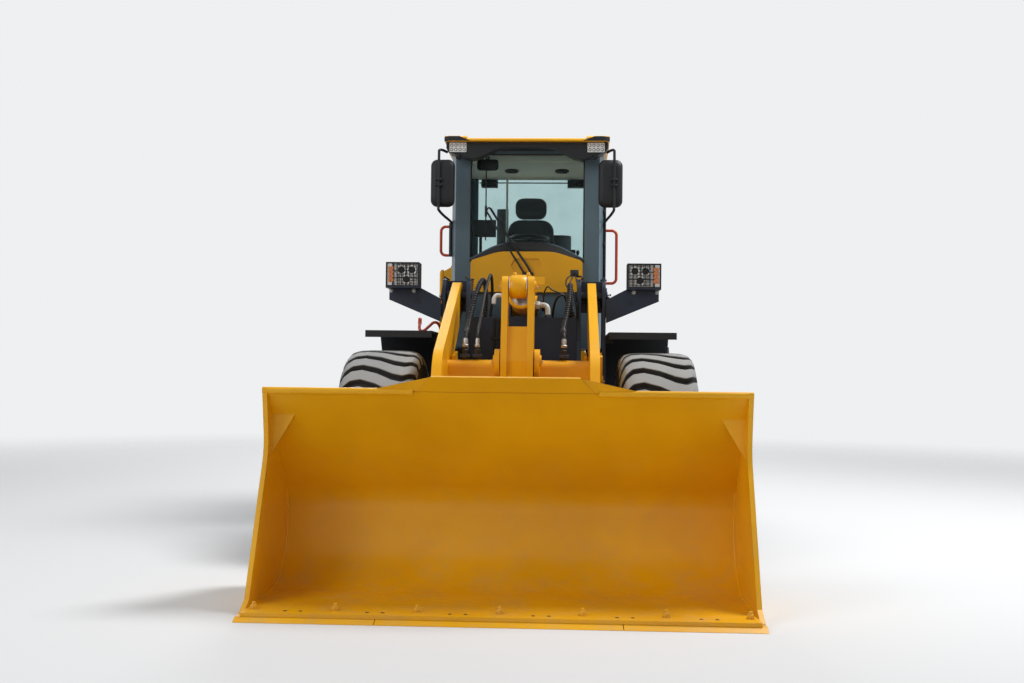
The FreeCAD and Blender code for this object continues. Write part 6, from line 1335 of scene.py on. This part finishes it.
def applied(piece):
    """Turns the evaluated mesh into the piece's own."""
    graph = bpy.context.evaluated_depsgraph_get()
    mesh = bpy.data.meshes.new_from_object(piece.evaluated_get(graph))
    piece.modifiers.clear()
    piece.data = mesh


def blow_up(piece, is_held):
    """A cover blown up by its filling: held where it is sewn down, and kept from swelling too far."""
    remesh = piece.modifiers.new("even_mesh", "REMESH")
    remesh.mode = "VOXEL"
    remesh.voxel_size = even_edge
    applied(piece)
    held = piece.vertex_groups.new(name="sewn")
    start = [point.co.copy() for point in piece.data.vertices]
    held.add([i for i, place in enumerate(start) if is_held(place)], 1.0, "REPLACE")
    cover = piece.modifiers.new("cover", "CLOTH")
    cover.settings.quality = 5
    cover.settings.mass = 0.3
    cover.settings.use_pressure = True
    cover.settings.uniform_pressure_force = cover_pressure
    cover.settings.effector_weights.gravity = 0
    cover.settings.vertex_group_mass = "sewn"
    for number in range(1, cover_frames + 1):
        bpy.context.scene.frame_set(number)
    applied(piece)
    for point, place in zip(piece.data.vertices, start):
        move = point.co - place
        if move.length > most_swell:
            point.co = place + move.normalized() * most_swell
    bpy.context.scene.frame_set(1)
    piece.data.shade_smooth()
    paint(piece, seat_cloth)


def on_seam(value, seams):
    return any(abs(value - seam) < seam_half for seam in seams)


def cushion_sewn(place):
    lines = on_seam(abs(place.x), (cushion_side,)) or on_seam(place.y, cushion_seams)
    return place.z < cushion_under or (lines and abs(place.x) < cushion_side + past_seam)


def back_sewn(place):
    lines = on_seam(abs(place.x), (back_side,)) or on_seam(place.z, back_seams)
    return place.y > back_behind or (lines and abs(place.x) < back_side + past_seam)


def head_sewn(place):
    return place.y > head_behind or on_seam(place.z, (head_seam,))


blow_up(soft["cushion"], cushion_sewn)
blow_up(soft["back"], back_sewn)
blow_up(soft["head"], head_sewn)
print("points in the cushion's cover:", len(soft["cushion"].data.vertices))

# %% [markdown]
# From behind and from the side the loader shows its hood latches, the mesh behind the grille bars,
# the counterweight's bolts and the cap and cover of its tank. They are small, but without them
# those sides look like a toy's.

# %% Hood, grille, counterweight and tank
latch_z, latch_x, latch_bar_x = 1.62, 0.5595, 0.5690
hood_side, hood_top_seam = 0.562, 2.36
mesh_low, mesh_high, mesh_half, mesh_wire, mesh_rows, mesh_columns = 1.72, 2.34, 0.44, 0.0028, 26, 36
handle_x, handle_z = -0.49, 1.95
weight_rear = 4.0402
tank_cap = ((0.050, 0.0), (0.050, 0.006), (0.044, 0.011), (0.02, 0.012))

shape = Shape()
for side in both:
    for y in (1.95, 2.65):
        out = (side, 0, 0)
        shape.slab((latch_x * side, y, latch_z), out, (0.09, 0.05), 0.012, 0.01, 0.003, backward)
        shape.slab((latch_bar_x * side, y, latch_z), out, (0.05, 0.018), 0.006, 0.012, 0.003, backward)
    x = hood_side * side
    shape.pipe([(x, 1.64, hood_top_seam), (x, 3.60, hood_top_seam)], 0.006, 6, 20)
    shape.pipe([(x, 2.30, 1.22), (x, 2.30, hood_top_seam)], 0.004, 6, 12)
shape.piece("hood_latches", black_plastic, "rear_frame")

shape = Shape()
for i in range(mesh_rows + 1):
    z = mesh_low + (mesh_high - mesh_low) * i / mesh_rows
    shape.tube([Vector((-mesh_half, 3.655, z)), Vector((mesh_half, 3.655, z))], mesh_wire, 4)
for i in range(mesh_columns + 1):
    x = -mesh_half + 2 * mesh_half * i / mesh_columns
    shape.tube([Vector((x, 3.658, mesh_low)), Vector((x, 3.658, mesh_high))], mesh_wire, 4)
shape.piece("grille_mesh", black_steel, "rear_grille")

shape = Shape()
shape.slab((handle_x, 3.7005, handle_z), backward, (0.05, 0.12), 0.012, 0.014, 0.004, leftward)
shape.slab((handle_x, 3.7140, handle_z), backward, (0.024, 0.07), 0.008, 0.014, 0.004, leftward)
shape.piece("grille_handle", black_plastic, "rear_grille")

shape = Shape()
for side in both:
    shape.bolts([(x * side, weight_rear, z) for x in (0.32, 0.62) for z in (0.90, 1.33)], backward, 0.042)
shape.piece("weight_bolts", bolt_zinc, "rear_frame")

shape = Shape()
shape.turned((-0.79, 1.40, 2.5215), up, tank_cap, 28)
shape.piece("tank_fittings", black_plastic, "rear_frame")

shape = Shape()
outline = [(-0.15, -0.37), (0.15, -0.37), (0.15, 0.33), (0.11, 0.37), (-0.11, 0.37), (-0.15, 0.33)]
shape.plate((-0.8695, 1.18, 2.09), (-1, 0, 0), outline, 0.046, 0.014, forward)
shape.piece("tank_cover", yellow_paint, "rear_frame")
print("rear details:", counts["grille_mesh"], "triangles in the mesh")
